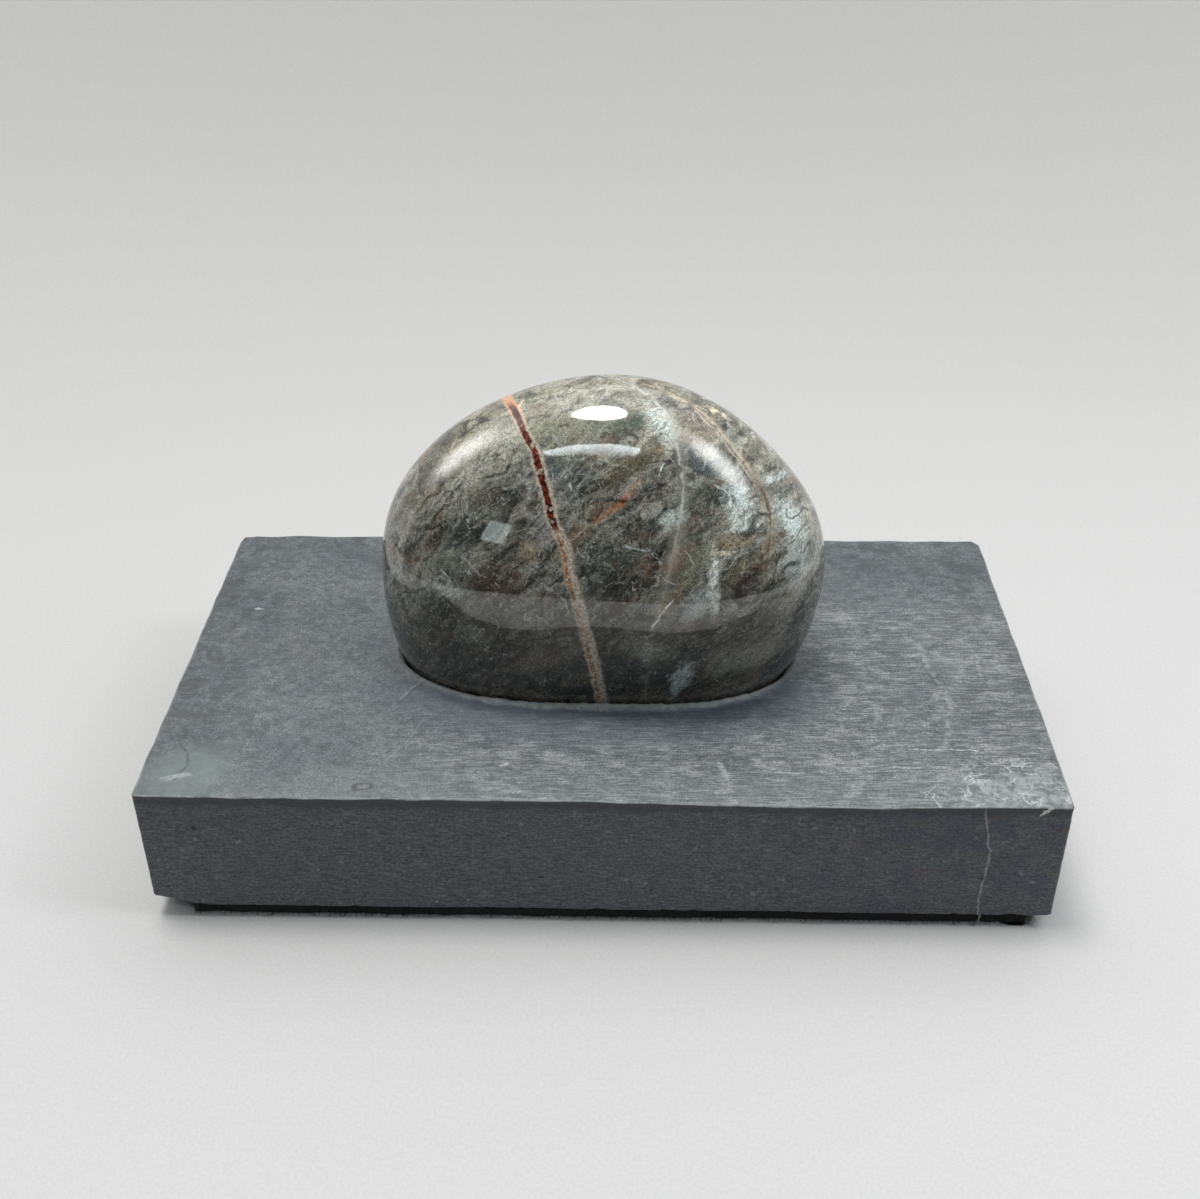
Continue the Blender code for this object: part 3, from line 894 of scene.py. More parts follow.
def unevenness(points, layers, start=0.0):
    """Layers of soft noise, added to a start."""
    return sum((height * noise_at(points, length) for height, length in layers), start)


def hollows(points, layers):
    """Layers of soft noise that are never below nothing."""
    return sum(height * (1.0 + noise_at(points, length)) for height, length in layers)


def flat_places(points):
    return np.column_stack((points, np.zeros(len(points))))


def top_height(points):
    """Height of the scraped top away from the lip."""
    along = np.exp(-(((points[:, 0] - DIP_X) / DIP_HALF_LENGTH) ** 2))
    inward = np.exp(-(points[:, 1] + HALF_DEPTH) / DIP_REACH)
    wave = TOP_WAVE * (noise_at(flat_places(points), WAVE_LENGTH) - 0.5)
    return SLAB_TOP - DIP_DEPTH * along * inward + wave


def lip_rise(distance, strength):
    """Height of the raised lip and of the low mound round it, at a distance from the pocket."""
    across = min(1.0, distance / LIP_WIDTH)
    lip = LIP_HEIGHT * math.cos(QUARTER_TURN * across) ** 2
    mound = MOUND_HEIGHT * (1.0 - float(smooth_step(distance / MOUND_REACH)))
    return lip * strength + mound


def seat_ring(angles, height, offset):
    """A level ring of points round the stone's own section, moved out by an offset."""
    radius = stone_section(angles, height)
    section = np.array(STONE_CENTRE.xy) + radius[:, None] * np.stack((np.cos(angles), np.sin(angles)), 1)
    tangent = np.roll(section, -1, 0) - np.roll(section, 1, 0)
    outward = np.stack((tangent[:, 1], -tangent[:, 0]), 1)
    outward /= np.linalg.norm(outward, axis=1)[:, None]
    return section + outward * offset, outward


def slab_rings():
    """Rings from the pocket's floor over the top and down the sides, and each ring's distance out."""
    outline, outward = slab_outline()
    centre = np.array(STONE_CENTRE.xy)
    angles = np.arctan2(outline[:, 1] - centre[1], outline[:, 0] - centre[0])
    front = smooth_step((-np.sin(angles) - LIP_START) / LIP_SPAN)
    strength = LIP_LEAST + (1.0 - LIP_LEAST) * front
    rings = []
    distances = []

    def add(points, heights, distance):
        rings.append(np.column_stack((points, np.broadcast_to(heights, len(points)))))
        distances.append(np.broadcast_to(distance, len(points)))

    floor_ring, _ = seat_ring(angles, SEAT_FLOOR, GAP)
    add(centre + (floor_ring - centre) * SEAT_INNER, SEAT_FLOOR, 0.0)
    for share in SEAT_LEVELS:
        height = SEAT_FLOOR + SEAT_DEPTH * share
        add(seat_ring(angles, height, SEAT_GAP)[0], height, 0.0)

    rim, rim_outward = seat_ring(angles, SLAB_TOP + lip_rise(0.0, 1.0), SEAT_GAP)
    steps = [LIP_WIDTH * i / LIP_RINGS for i in range(LIP_RINGS)]
    mound_end = MOUND_REACH * MOUND_SHARE
    steps += [LIP_WIDTH + (mound_end - LIP_WIDTH) * i / MOUND_RINGS for i in range(MOUND_RINGS + 1)]
    for distance in steps:
        ring = rim + rim_outward * distance
        lumps = unevenness(flat_places(ring), LIP_LUMPS, 1.0)
        add(ring, top_height(ring) + lip_rise(distance, strength * lumps), distance)

    inner = rim + rim_outward * mound_end
    outer = inset_outline(outline, outward, TOP_INSET)
    span = np.linalg.norm(outer - inner, axis=1)
    for i in range(1, TOP_RINGS + 1):
        share = i / TOP_RINGS
        ring = inner + (outer - inner) * share
        rise = lip_rise(MOUND_REACH * (MOUND_SHARE + share), strength)
        add(ring, top_height(ring) + rise, mound_end + span * share)

    far = mound_end + span
    rim_top = top_height(outline)
    wear = unevenness(flat_places(outline), EDGE_WEAR, 1.0)
    for i in range(1, ARRIS_RINGS + 1):
        bend = QUARTER_TURN * i / ARRIS_RINGS
        inset = ARRIS_INSET * wear * (1.0 - math.sin(bend))
        drop = ARRIS_DROP * wear * (1.0 - math.cos(bend))
        add(inset_outline(outline, outward, inset), rim_top - drop, far)
    side_top = rim_top - ARRIS_DROP * wear
    side_bottom = SLAB_BOTTOM + ARRIS_DROP
    for i in range(1, SIDE_RINGS + 1):
        add(outline, side_top + (side_bottom - side_top) * i / SIDE_RINGS, far)
    for i in range(1, BOTTOM_RINGS + 1):
        bend = QUARTER_TURN * i / BOTTOM_RINGS
        edge = inset_outline(outline, outward, ARRIS_DROP * (1.0 - math.cos(bend)))
        add(edge, side_bottom - ARRIS_DROP * math.sin(bend), far)
    add(inset_outline(outline, outward, BOTTOM_INSET), SLAB_BOTTOM, far)
    return rings, distances, outward


def scoop(points, centre, radius):
    """Moves the points inside a ball out to its surface, towards the slab's middle."""
    arms = points - centre
    length = np.linalg.norm(arms, axis=1)
    inside = length < radius
    points[inside] = centre + arms[inside] / length[inside, None] * radius


def chip_edges(points):
    """Breaks small shell-shaped flakes off the slab's top and bottom edges."""
    draw = random.Random(CHIP_SEED)
    outline, outward = slab_outline()
    for count, height, up, gain in CHIPS:
        for _ in range(count):
            i = draw.randrange(len(outline))
            edge = np.array((*outline[i], height))
            facing = np.array((*(outward[i] * draw.uniform(*CHIP_OUTWARD)), up * draw.uniform(*CHIP_UPWARD)))
            facing /= np.linalg.norm(facing)
            radius = draw.uniform(*CHIP_RADIUS)
            bite = gain * draw.uniform(*CHIP_BITE)
            scoop(points, edge + facing * (radius - bite), radius)


def roughen(points, outward, ring_count):
    """Saw marks on the sides, scraping and pits on the top, and the broken corners."""
    count = len(points) // ring_count
    ring = np.repeat(np.arange(ring_count), count)
    # The last ring of the top arris counts as side, and the last ring of all closes the bottom.
    first_side = ring_count - SIDE_RINGS - BOTTOM_RINGS - 2
    on_top = (ring > len(SEAT_LEVELS)) & (ring < first_side)
    on_side = ring >= first_side
    facing = np.tile(outward, (ring_count, 1))

    wave = SIDE_WAVE * np.maximum(0.0, noise_at(points, WAVE_LENGTH))
    fine = hollows(points * SAW_SQUEEZE, SAW_MARKS)
    inward = np.where(on_side, wave + fine, 0.0)
    points[:, :2] -= facing * inward[:, None]

    scrape = unevenness(points * SCRAPE_SQUEEZE, SCRAPES)
    points[:, 2] += np.where(on_top, scrape + unevenness(points, TOP_LUMPS), 0.0)

    for place, towards in BREAKS:
        normal = np.array(Vector(towards).normalized())
        beyond = (points - np.array(place)) @ normal + unevenness(points, BREAK_LUMPS)
        points -= np.outer(np.maximum(0.0, beyond), normal)


def ring_faces(ring_count, count, outward=True):
    """Faces between rings that hold the same count of points, and one over each end."""
    faces = []
    for ring in range(ring_count - 1):
        start = ring * count
        for i in range(count):
            j = (i + 1) % count
            face = (start + i, start + count + i, start + count + j, start + j)
            faces.append(face if outward else (face[0], *face[:0:-1]))
    first = tuple(range(count))
    last = tuple(range((ring_count - 1) * count, ring_count * count))
    faces += [first, last[::-1]] if outward else [first[::-1], last]
    return faces


def add_values(obj, name, values):
    """A number for each of the mesh's points, which its material reads."""
    attribute = obj.data.attributes.new(name, "FLOAT", "POINT")
    attribute.data.foreach_set("value", values)


def make_slab():
    rings, distances, outward = slab_rings()
    points = np.concatenate(rings)
    roughen(points, outward, len(rings))
    chip_edges(points)
    points[:, 0] = np.clip(points[:, 0], -HALF_WIDTH, HALF_WIDTH)
    points[:, 1] = np.clip(points[:, 1], -HALF_DEPTH, HALF_DEPTH)
    points[:, 2] = np.maximum(points[:, 2], SLAB_BOTTOM)
    slab = mesh_object("slate_slab", points.tolist(), ring_faces(len(rings), len(rings[0])))
    add_values(slab, "from_seat", np.concatenate(distances) / MM)
    dress(slab, slate_material(), "slate_base")


# Marks on the slab's top: points (x, y) in millimetres, half width, colour, strength.
TOP_MARKS = (
    (((-87.7, -34.3), (-85.2, -37.5), (-84.3, -42.0), (-85.9, -46.1)), 0.30, (0.040, 0.047, 0.050), 0.8),
    (((-87.9, -45.6), (-85.8, -44.9), (-83.5, -44.5)), 0.75, (0.42, 0.46, 0.45), 0.55),
    (((-74.6, -19.5), (-74.3, -28.6), (-74.9, -37.3)), 0.30, (0.070, 0.080, 0.088), 0.7),
    (((-61.5, -22.1), (-60.1, -21.8)), 0.35, (0.020, 0.022, 0.024), 0.9),
    (((-44.1, -18.7), (-42.1, -15.7), (-39.9, -12.4)), 0.30, (0.36, 0.38, 0.38), 0.35),
    (((-43.6, -19.2), (-41.5, -15.9), (-39.3, -12.9)), 0.30, (0.050, 0.056, 0.066), 0.8),
    (((-83.0, 16.4), (-81.6, 16.5)), 0.45, (0.52, 0.54, 0.52), 0.8),
    (((64.0, -33.6), (71.5, -33.4), (78.0, -33.9)), 0.22, (0.54, 0.57, 0.57), 0.9),
    (((24.0, -38.5), (25.6, -43.6)), 0.60, (0.44, 0.47, 0.47), 0.6),
    (((-20.0, -40.2), (-19.0, -39.6)), 0.40, (0.60, 0.60, 0.56), 0.9),
    (((58.0, -39.0), (66.0, -39.4)), 0.30, (0.46, 0.49, 0.49), 0.7),
    (((34.0, -41.0), (41.0, -41.3)), 0.30, (0.46, 0.49, 0.49), 0.6),
)
DENT = (-47.6, -47.3)

# Marks on its front face: points (x, z).
FRONT_MARKS = (
    (((76.0, 32.1), (77.3, 25.6), (77.4, 22.9), (78.4, 21.3), (78.2, 17.5), (78.1, 13.4), (77.7, 9.2),
      (77.9, 6.4), (78.3, 3.4)), 0.20, (0.270, 0.300, 0.315), 0.9),
    (((87.2, 30.8), (87.7, 31.7), (88.3, 31.8), (88.4, 32.4), (89.1, 32.6)), 0.30, (0.66, 0.69, 0.66), 1.0),
    (((-12.3, 12.4), (-11.9, 12.4)), 0.42, (0.010, 0.010, 0.012), 0.95),
    (((-82.3, 24.6), (-81.9, 24.6)), 0.42, (0.010, 0.010, 0.012), 0.95),
    (((58.0, 8.4), (63.0, 8.2)), 0.14, (0.16, 0.18, 0.19), 0.7),
)


def slate_bare(paint, place, crooked):
    """Grained and finely brushed blue-grey slate, with dark scraped patches near its sides and back."""
    blotch = paint.noise(crooked, 24.0, 4.0, 0.6)
    colour = paint.mix(paint.fade(blotch, 0.35, 0.65), (0.080, 0.095, 0.108), (0.124, 0.140, 0.150))
    mottled = paint.fade(paint.noise(crooked, 1.9, 4.0, 0.75), 0.36, 0.64, 0.68, 1.30)
    fine = paint.fade(paint.noise(place, 0.42, 3.0, 0.75), 0.3, 0.7, 0.48, 1.60)
    colour = paint.tone(colour, paint.times(fine, mottled))
    x, y, _ = paint.split(crooked)
    near_side = paint.fade(paint.absolute(x), 66.0, 88.0)
    near_back = paint.fade(y, 26.0, 46.0, 0.0, 0.8)
    scraped = paint.fade(paint.noise(crooked, 5.5, 5.0, 0.76), 0.46, 0.56, 0.0, 0.80)
    return paint.lay(colour, (0.048, 0.057, 0.062), paint.larger(near_side, near_back), scraped)


def slate_dust(paint, place, crooked, region, colour):
    """Pale dust rubbed into the scraped top in short strokes along the slab, in smudges and in specks."""
    lines = paint.noise(paint.local(place, ORIGIN, 1.0, (4.2, 0.24, 1.0)), 1.0, 4.0, 0.7)
    strokes = paint.noise(paint.local(place, (5.0, 3.0, 0.0), 2.0, (8.0, 0.8, 1.0)), 1.0, 4.0, 0.7)
    scuffed = paint.noise(paint.local(crooked, ORIGIN, 0.0, (1.7, 1.0, 1.0)), 4.5, 6.0, 0.78)
    grainy = paint.fade(paint.noise(place, 0.35, 2.0, 0.7), 0.40, 0.60, 0.30, 1.0)
    amount = paint.plus(paint.fade(lines, 0.46, 0.64, 0.0, 0.50), paint.fade(strokes, 0.48, 0.64, 0.0, 0.42))
    amount = paint.plus(amount, paint.fade(scuffed, 0.49, 0.64, 0.0, 0.62), clamp=True)
    colour = paint.lay(colour, (0.47, 0.49, 0.49), amount, grainy, region)
    colour = paint.lay(colour, (0.060, 0.068, 0.078), paint.fade(lines, 0.50, 0.36, 0.0, 0.90), region)
    specks = paint.fade(paint.noise(paint.after(place, colour), 0.45, 2.0, 0.7), 0.67, 0.75, 0.0, 0.8)
    return paint.lay(colour, (0.60, 0.61, 0.60), specks, paint.larger(region, 0.5))


def slate_seat(paint, place, y, from_seat, colour):
    """Powder on the lip in front of the stone, a painted shade in a ring outside it and bluer slate beyond.
    """
    in_front = paint.fade(y, -6.0, -22.0, 0.12, 1.0)
    reach = paint.plus(from_seat, paint.spread(paint.noise(place, 4.0, 4.0, 0.7), 5.0))
    colour = paint.lay(colour, (0.092, 0.122, 0.158), paint.fade(reach, 18.0, 6.0, 0.0, 0.45), in_front)
    # Painted shade in a ring just outside the lip, in front of the stone.
    painted_shade_halo = paint.times(paint.fade(reach, 0.8, 1.8), paint.fade(reach, 6.0, 2.4))
    colour = paint.lay(colour, (0.050, 0.062, 0.084), painted_shade_halo, paint.times(in_front, 0.6))
    powder = paint.spread(paint.noise(place, 0.9, 4.0, 0.75), 1.6)
    lip = paint.fade(paint.plus(from_seat, powder), 1.5, 0.5, 0.0, 0.60)
    return paint.lay(colour, (0.40, 0.41, 0.40), lip, in_front)


# Arcs on the slab's top, in millimetres: centre, radius, width, and how near the front they begin.
ARCS = (((20.0, -14.0), 54.0, 1.2, -38.0), ((38.0, -2.0), 45.0, 0.8, -12.0))
ANY_HEIGHT = 1e6


def slate_arcs(paint, place, crooked, x, y, colour):
    """Two scraped arcs at the right of the stone."""
    scraped = paint.fade(paint.noise(place, 1.6, 4.0, 0.75), 0.42, 0.60)
    for centre, radius, width, near in ARCS:
        off = paint.off(paint.distance(crooked, (*centre, 0.0), 0.0, (1.0, 1.0, ANY_HEIGHT)), radius)
        where = paint.times(paint.fade(y, near, near + 8.0), paint.fade(y, 12.0, 4.0))
        where = paint.times(where, paint.fade(x, 60.0, 66.0))
        arc = paint.fade(off, width, 0.1, 0.0, 0.40)
        colour = paint.lay(colour, (0.46, 0.49, 0.50), arc, paint.times(where, scraped))
    return colour


def slate_corners(paint, place, crooked, y, colour):
    """A greener front edge and front left corner, and a pale scaly crust in the front right one."""
    colour = paint.lay(colour, (0.215, 0.240, 0.230), paint.fade(y, -36.0, -50.0, 0.0, 0.20))
    bloom = paint.distance(crooked, (-84.0, -43.0, 33.0), 20.0, (11.0, 9.0, 9.0))
    colour = paint.lay(colour, (0.190, 0.235, 0.230), paint.fade(bloom, 1.3, 0.3, 0.0, 0.60))
    corner = paint.distance(crooked, (84.0, -46.5, 33.0), 0.0, (14.0, 7.0, 12.0))
    wrinkled = paint.warp(paint.warp(paint.after(place, colour), 5.0, 4.0), 1.2, 1.2, 2.0)
    ragged = paint.spread(paint.noise(wrinkled, 2.4, 5.0, 0.75), 2.4)
    crust = paint.fade(paint.plus(corner, ragged), 1.05, 0.55)
    tone = paint.fade(paint.noise(wrinkled, 1.5, 5.0, 0.8), 0.36, 0.60, 0.15, 0.80)
    colour = paint.lay(colour, (0.37, 0.41, 0.42), crust, tone)
    gaps = paint.noise(paint.moved(wrinkled, (6.0, 8.0, 1.0)), 2.4, 5.0, 0.8)
    colour = paint.lay(colour, (0.085, 0.098, 0.112), crust, paint.fade(gaps, 0.50, 0.60, 0.0, 0.75))
    near = paint.fade(corner, 1.9, 0.9)
    for size, width, shift in ((7.0, 0.026, 0.0), (4.2, 0.034, 20.0)):
        stretched = paint.local(wrinkled, (shift, 0.0, 0.0), 12.0, (1.5, 1.0, 1.0))
        scales = paint.cells(stretched, size, "DISTANCE_TO_EDGE")
        shown = paint.noise(paint.moved(place, (shift, 5.0, 0.0)), 4.0, 3.0)
        shown = paint.fade(shown, 0.46, 0.58, 0.0, 0.7)
        veins = paint.fade(scales, width, 0.004)
        colour = paint.lay(colour, (0.56, 0.60, 0.60), veins, paint.times(shown, near))
    return colour


def slate_marks(paint, place, colour):
    """The drawn marks on the top, and a small ring-shaped dent near its front edge."""
    crooked = paint.warp(paint.warp(place, 3.0, 1.2), 0.8, 0.5, 2.0)
    broken = paint.fade(paint.noise(place, 0.7, 3.0, 0.75), 0.36, 0.56, 0.2, 1.0)
    for points, half_width, shade, strength in TOP_MARKS:
        level = [Vector((*point, SLAB_TOP / MM)) for point in points]
        crooked = paint.after(crooked, colour)
        colour = stroke(paint, crooked, colour, level, half_width, shade, strength, broken)
    ring = paint.distance(crooked, (*DENT, SLAB_TOP / MM), 8.0, (1.9, 1.0, 3.0))
    return paint.lay(colour, (0.055, 0.058, 0.060), paint.fade(paint.off(ring, 0.95), 0.40, 0.10, 0.0, 0.75))


def slate_sides(paint, place, x, y, z):
    """Sawn sides: darker, finely brushed along their length, with small pale flecks, the marks and a painted
    shade just under the top edge.
    """
    brushed = paint.noise(paint.local(place, ORIGIN, 0.0, (3.2, 3.2, 0.30)), 1.0, 4.0, 0.75)
    colour = paint.mix(paint.fade(brushed, 0.32, 0.68), (0.040, 0.046, 0.056), (0.122, 0.131, 0.141))
    cloudy = paint.warp(place, 6.0, 5.0)
    at_right = paint.times(paint.fade(x, 30.0, 66.0, 0.15, 1.0), paint.fade(y, -30.0, -50.0, 0.35, 1.0))
    bluer = paint.fade(paint.noise(cloudy, 7.0, 4.0, 0.65), 0.46, 0.60, 0.0, 0.60)
    colour = paint.lay(colour, (0.042, 0.054, 0.088), bluer, at_right)
    browner = paint.noise(paint.moved(cloudy, (9.0, 4.0, 7.0)), 7.0, 4.0, 0.65)
    colour = paint.lay(colour, (0.102, 0.080, 0.080), paint.fade(browner, 0.51, 0.64, 0.0, 0.60), at_right)
    colour = paint.tone(colour, paint.fade(paint.noise(place, 0.6, 3.0, 0.75), 0.34, 0.66, 0.60, 1.5))
    flecks = paint.fade(paint.cells(paint.warp(place, 3.0, 2.0), 4.4), 0.15, 0.05, 0.0, 0.50)
    colour = paint.lay(colour, (0.26, 0.29, 0.31), flecks)
    # A painted shade in a ragged band just under the top edge of the sides.
    uneven = paint.plus(z, paint.spread(paint.noise(place, 7.0, 4.0), 3.0))
    painted_shade_under_edge = paint.times(paint.fade(uneven, 29.6, 31.4), paint.fade(z, 33.2, 32.6))
    colour = paint.lay(colour, (0.030, 0.032, 0.036), painted_shade_under_edge, 0.7)
    crooked = paint.warp(paint.warp(paint.join(x, z, y), 2.4, 0.9), 0.8, 0.75, 2.0)
    for points, half_width, shade, strength in FRONT_MARKS:
        deep = [Vector((*point, -HALF_DEPTH / MM)) for point in points]
        crooked = paint.after(crooked, colour)
        colour = stroke(paint, crooked, colour, deep, half_width, shade, strength, 1.0)
    return colour


def slate_material():
    paint = Paint("dark_slate_scraped")
    place = paint.place()
    x, y, z = paint.split(place)
    from_seat = paint.attribute("from_seat")
    crooked = paint.warp(place, 9.0, 5.0)

    front = paint.times(paint.fade(y, -4.0, -24.0), paint.fade(x, -58.0, -14.0))
    right = paint.times(paint.fade(x, 38.0, 48.0), paint.fade(y, 32.0, 10.0))
    region = paint.scaled(paint.larger(front, right), 0.72, 0.20)
    dusty = slate_bare(paint, place, crooked)
    dusty = slate_dust(paint, place, crooked, region, dusty)
    dusty = slate_seat(paint, paint.after(place, dusty), y, from_seat, dusty)
    dusty = slate_arcs(paint, paint.after(place, dusty), crooked, x, y, dusty)
    dusty = slate_corners(paint, paint.after(place, dusty), crooked, y, dusty)
    dusty = slate_marks(paint, paint.after(place, dusty), dusty)
    side = slate_sides(paint, paint.after(place, dusty), x, y, z)

    geometry = paint.nodes.new("ShaderNodeNewGeometry")
    _, _, facing_up = paint.split(geometry.outputs["Normal"])
    colour = paint.mix(paint.fade(facing_up, 0.55, 0.9), side, dusty)
    worn = paint.times(paint.fade(facing_up, 0.15, 0.45), paint.fade(facing_up, 0.985, 0.85))
    rubbed = paint.fade(paint.noise(place, 5.0, 4.0, 0.7), 0.36, 0.58, 0.10, 0.48)
    colour = paint.lay(colour, (0.40, 0.43, 0.42), worn, rubbed)

    grain = paint.noise(place, 0.5, 3.0, 0.75)
    lines = paint.noise(paint.local(place, ORIGIN, 1.0, (4.2, 0.24, 0.24)), 1.0, 3.0, 0.7)
    rough = paint.scaled(grain, 0.25, 0.40)
    height = paint.plus(paint.times(grain, 0.12), paint.times(lines, 0.10))
    return paint.finish(Base_Color=colour, Roughness=rough, IOR=1.5, Normal=paint.bump(height, MM, 0.9))


# Felt pad: its edge is fuzzy, and the fuzz is long where the pad is set in at its ends.
FIBRE_SEED = 5
FIBRE_COUNT = 5200
FIBRE_RADIUS = 0.000035
FIBRE_SEGMENTS = 3
FIBRE_END_LENGTH = (0.0006, 0.0030)
FIBRE_SIDE_LENGTH = (0.0003, 0.0014)
FIBRE_END_REACH = 0.0028
FIBRE_FRONT_REACH = 0.0007
FIBRE_BACK_REACH = 0.002
FIBRE_ROOT = 0.0008
FIBRE_ROOT_HEIGHT = (FELT_LOW[2] + 0.0004, FELT_HIGH[2] - 0.0003)
FIBRE_HEIGHT = (FELT_LOW[2] + 0.0001, SLAB_BOTTOM - 0.00005)
FIBRE_FRONT = -HALF_DEPTH + 0.0001
FIBRE_LEAN = (-1.0, 1.0)
FIBRE_LIFT = (-0.7, 0.5)
FIBRE_SLOWING = 0.25
TUBE_SIDES = 3
TUBE_TAPER = 0.6
FELT_STEP = 0.0011

# A loose thread that hangs from under the slab's front edge down to the floor, and the bead of fluff
# at its end: for each, a path in millimetres and a radius in metres.
THREADS = (
    (((78.4, -50.8, 3.6), (78.8, -50.8, 3.1), (78.5, -50.8, 2.5), (78.6, -50.8, 1.9), (78.1, -50.8, 1.2),
      (78.1, -50.8, 0.7), (77.6, -50.8, 0.25)), 0.00018),
    (((77.2, -50.6, 0.34), (77.4, -50.6, 0.40), (77.7, -50.6, 0.40), (78.0, -50.6, 0.34)), 0.00032),
)

# The pad's edge: its rounding, the steps of it, the nap's layers, and how far in the nap goes.
FELT_ROUNDING = 0.0007
FELT_STEPS = 5
FELT_FLAT = 0.004
FELT_NAP = ((0.00022, 0.0011), (0.0003, 0.006))
NAP_DEPTH = 0.001


def felt_outline():
    low = np.array(FELT_LOW[:2])
    high = np.array(FELT_HIGH[:2])
    corners = ((low[0], low[1]), (high[0], low[1]), (high[0], high[1]), (low[0], high[1]))
    points = []
    outwards = []
    for i in range(4):
        start = np.array(corners[i])
        end = np.array(corners[(i + 1) % 4])
        length = np.linalg.norm(end - start)
        along = (end - start) / length
        count = round(length / FELT_STEP)
        for j in range(count):
            points.append(start + (end - start) * j / count)
            outwards.append(np.array((along[1], -along[0])))
    return np.array(points), np.array(outwards)


def felt_body():
    """The pad itself: a rounded, slightly uneven edge round a flat top and underside."""
    outline, outward = felt_outline()
    thickness = FELT_HIGH[2] - FELT_LOW[2]
    profile = [(FELT_FLAT, 0.0), (FELT_ROUNDING, 0.0)]
    for i in range(1, FELT_STEPS + 1):
        bend = QUARTER_TURN * i / FELT_STEPS
        profile.append((FELT_ROUNDING * (1.0 - math.sin(bend)), FELT_ROUNDING * (1.0 - math.cos(bend))))
    profile += [(inset, thickness - rise) for inset, rise in reversed(profile)]
    rings = []
    for inset, rise in profile:
        ring = np.column_stack((outline - outward * inset, np.full(len(outline), FELT_LOW[2] + rise)))
        if inset < NAP_DEPTH:
            ring[:, :2] -= outward * hollows(ring, FELT_NAP)[:, None]
        rings.append(ring)
    return np.concatenate(rings).tolist(), ring_faces(len(rings), len(outline), outward=False)


def add_tube(vertices, faces, path, radius):
    """A thin three-sided tube along a path, closed at both ends."""
    start = len(vertices)
    for i, point in enumerate(path):
        ahead = path[min(i + 1, len(path) - 1)] - path[max(i - 1, 0)]
        side = ahead.orthogonal().normalized()
        other = ahead.cross(side).normalized()
        taper = 1.0 - TUBE_TAPER * i / (len(path) - 1)
        for k in range(TUBE_SIDES):
            turn = 2.0 * math.pi * k / TUBE_SIDES
            vertices.append(point + (side * math.cos(turn) + other * math.sin(turn)) * radius * taper)
    for i in range(len(path) - 1):
        low = start + i * TUBE_SIDES
        high = low + TUBE_SIDES
        for k in range(TUBE_SIDES):
            after = (k + 1) % TUBE_SIDES
            faces.append((low + k, low + after, high + after, high + k))
    faces.append(tuple(range(start, start + TUBE_SIDES))[::-1])
    faces.append(tuple(range(len(vertices) - TUBE_SIDES, len(vertices))))


def fibre(draw, edge, facing):
    """A random path from inside the felt out past its edge."""
    low, high = FIBRE_HEIGHT
    at_end = abs(facing.x) > 0.5
    side_reach = FIBRE_FRONT_REACH if facing.y < -0.5 else FIBRE_BACK_REACH
    length = draw.uniform(*(FIBRE_END_LENGTH if at_end else FIBRE_SIDE_LENGTH))
    reach = min(length, FIBRE_END_REACH if at_end else side_reach)
    along = Vector((-facing.y, facing.x, 0.0))
    root_place = Vector((*edge, draw.uniform(*FIBRE_ROOT_HEIGHT)))
    root_place -= facing * FIBRE_ROOT
    lean = draw.uniform(*FIBRE_LEAN)
    lift = draw.uniform(*FIBRE_LIFT)
    path = []
    for step in range(FIBRE_SEGMENTS + 1):
        t = step / FIBRE_SEGMENTS
        out = FIBRE_ROOT * min(1.0, t * FIBRE_SEGMENTS) + reach * t * (1.0 - FIBRE_SLOWING * t)
        point = root_place + facing * out
        point += along * length * lean * t * t + Vector((0.0, 0.0, length * lift * t))
        point.z = min(high, max(low, point.z))
        point.y = max(point.y, FIBRE_FRONT)
        path.append(point)
    return path


def make_felt():
    vertices, faces = felt_body()
    vertices = [Vector(v) for v in vertices]
    draw = random.Random(FIBRE_SEED)
    outline, outward = felt_outline()
    for _ in range(FIBRE_COUNT):
        i = draw.randrange(len(outline))
        path = fibre(draw, outline[i], Vector((*outward[i], 0.0)))
        add_tube(vertices, faces, path, FIBRE_RADIUS)
    felt_count = len(vertices)
    for path, radius in THREADS:
        add_tube(vertices, faces, [Vector(point) * MM for point in path], radius)
    felt = mesh_object("felt_pad_fuzzy", vertices, faces)
    add_values(felt, "thread", [0.0] * felt_count + [1.0] * (len(vertices) - felt_count))
    dress(felt, felt_material(), "felt_pad")


def felt_material():
    paint = Paint("black_felt_fuzzy")
    place = paint.place()
    fibres = paint.noise(paint.warp(place, 0.8, 0.8), 0.22, 3.0, 0.7)
    colour = paint.mix(paint.fade(fibres, 0.3, 0.7), (0.003, 0.003, 0.0035), (0.014, 0.0135, 0.014))
    lint = paint.fade(paint.noise(place, 0.9, 2.0), 0.70, 0.78, 0.0, 0.4)
    colour = paint.lay(colour, (0.10, 0.095, 0.09), lint)
    colour = paint.lay(colour, (0.34, 0.37, 0.38), paint.attribute("thread"))
    return paint.finish(
        Base_Color=colour,
        Roughness=0.95,
        Sheen_Weight=0.08,
        Sheen_Roughness=0.6,
        Normal=paint.bump(fibres, 0.0002, 0.8),
    )


def make_camera():
    """Stands where the photographer stood."""
    turn = Matrix.Rotation(CAMERA_YAW, 3, "Z")
    pitch = Matrix((
        (1.0, 0.0, 0.0),
        (0.0, math.sin(CAMERA_PITCH), math.cos(CAMERA_PITCH)),
        (0.0, -math.cos(CAMERA_PITCH), math.sin(CAMERA_PITCH)),
    ))
    roll = Matrix.Rotation(CAMERA_ROLL, 3, "Z")
    axes = roll @ pitch @ turn
    data = bpy.data.cameras.new("camera")
    data.sensor_width = SENSOR_WIDTH
    data.lens = FOCAL_PIXELS / PHOTO_WIDTH * SENSOR_WIDTH
    data.clip_start = CLIP_START
    camera = bpy.data.objects.new("camera", data)
    camera.matrix_world = Matrix.Translation(CAMERA_PLACE) @ axes.transposed().to_4x4()
    bpy.context.scene.collection.objects.link(camera)
    bpy.context.scene.camera = camera


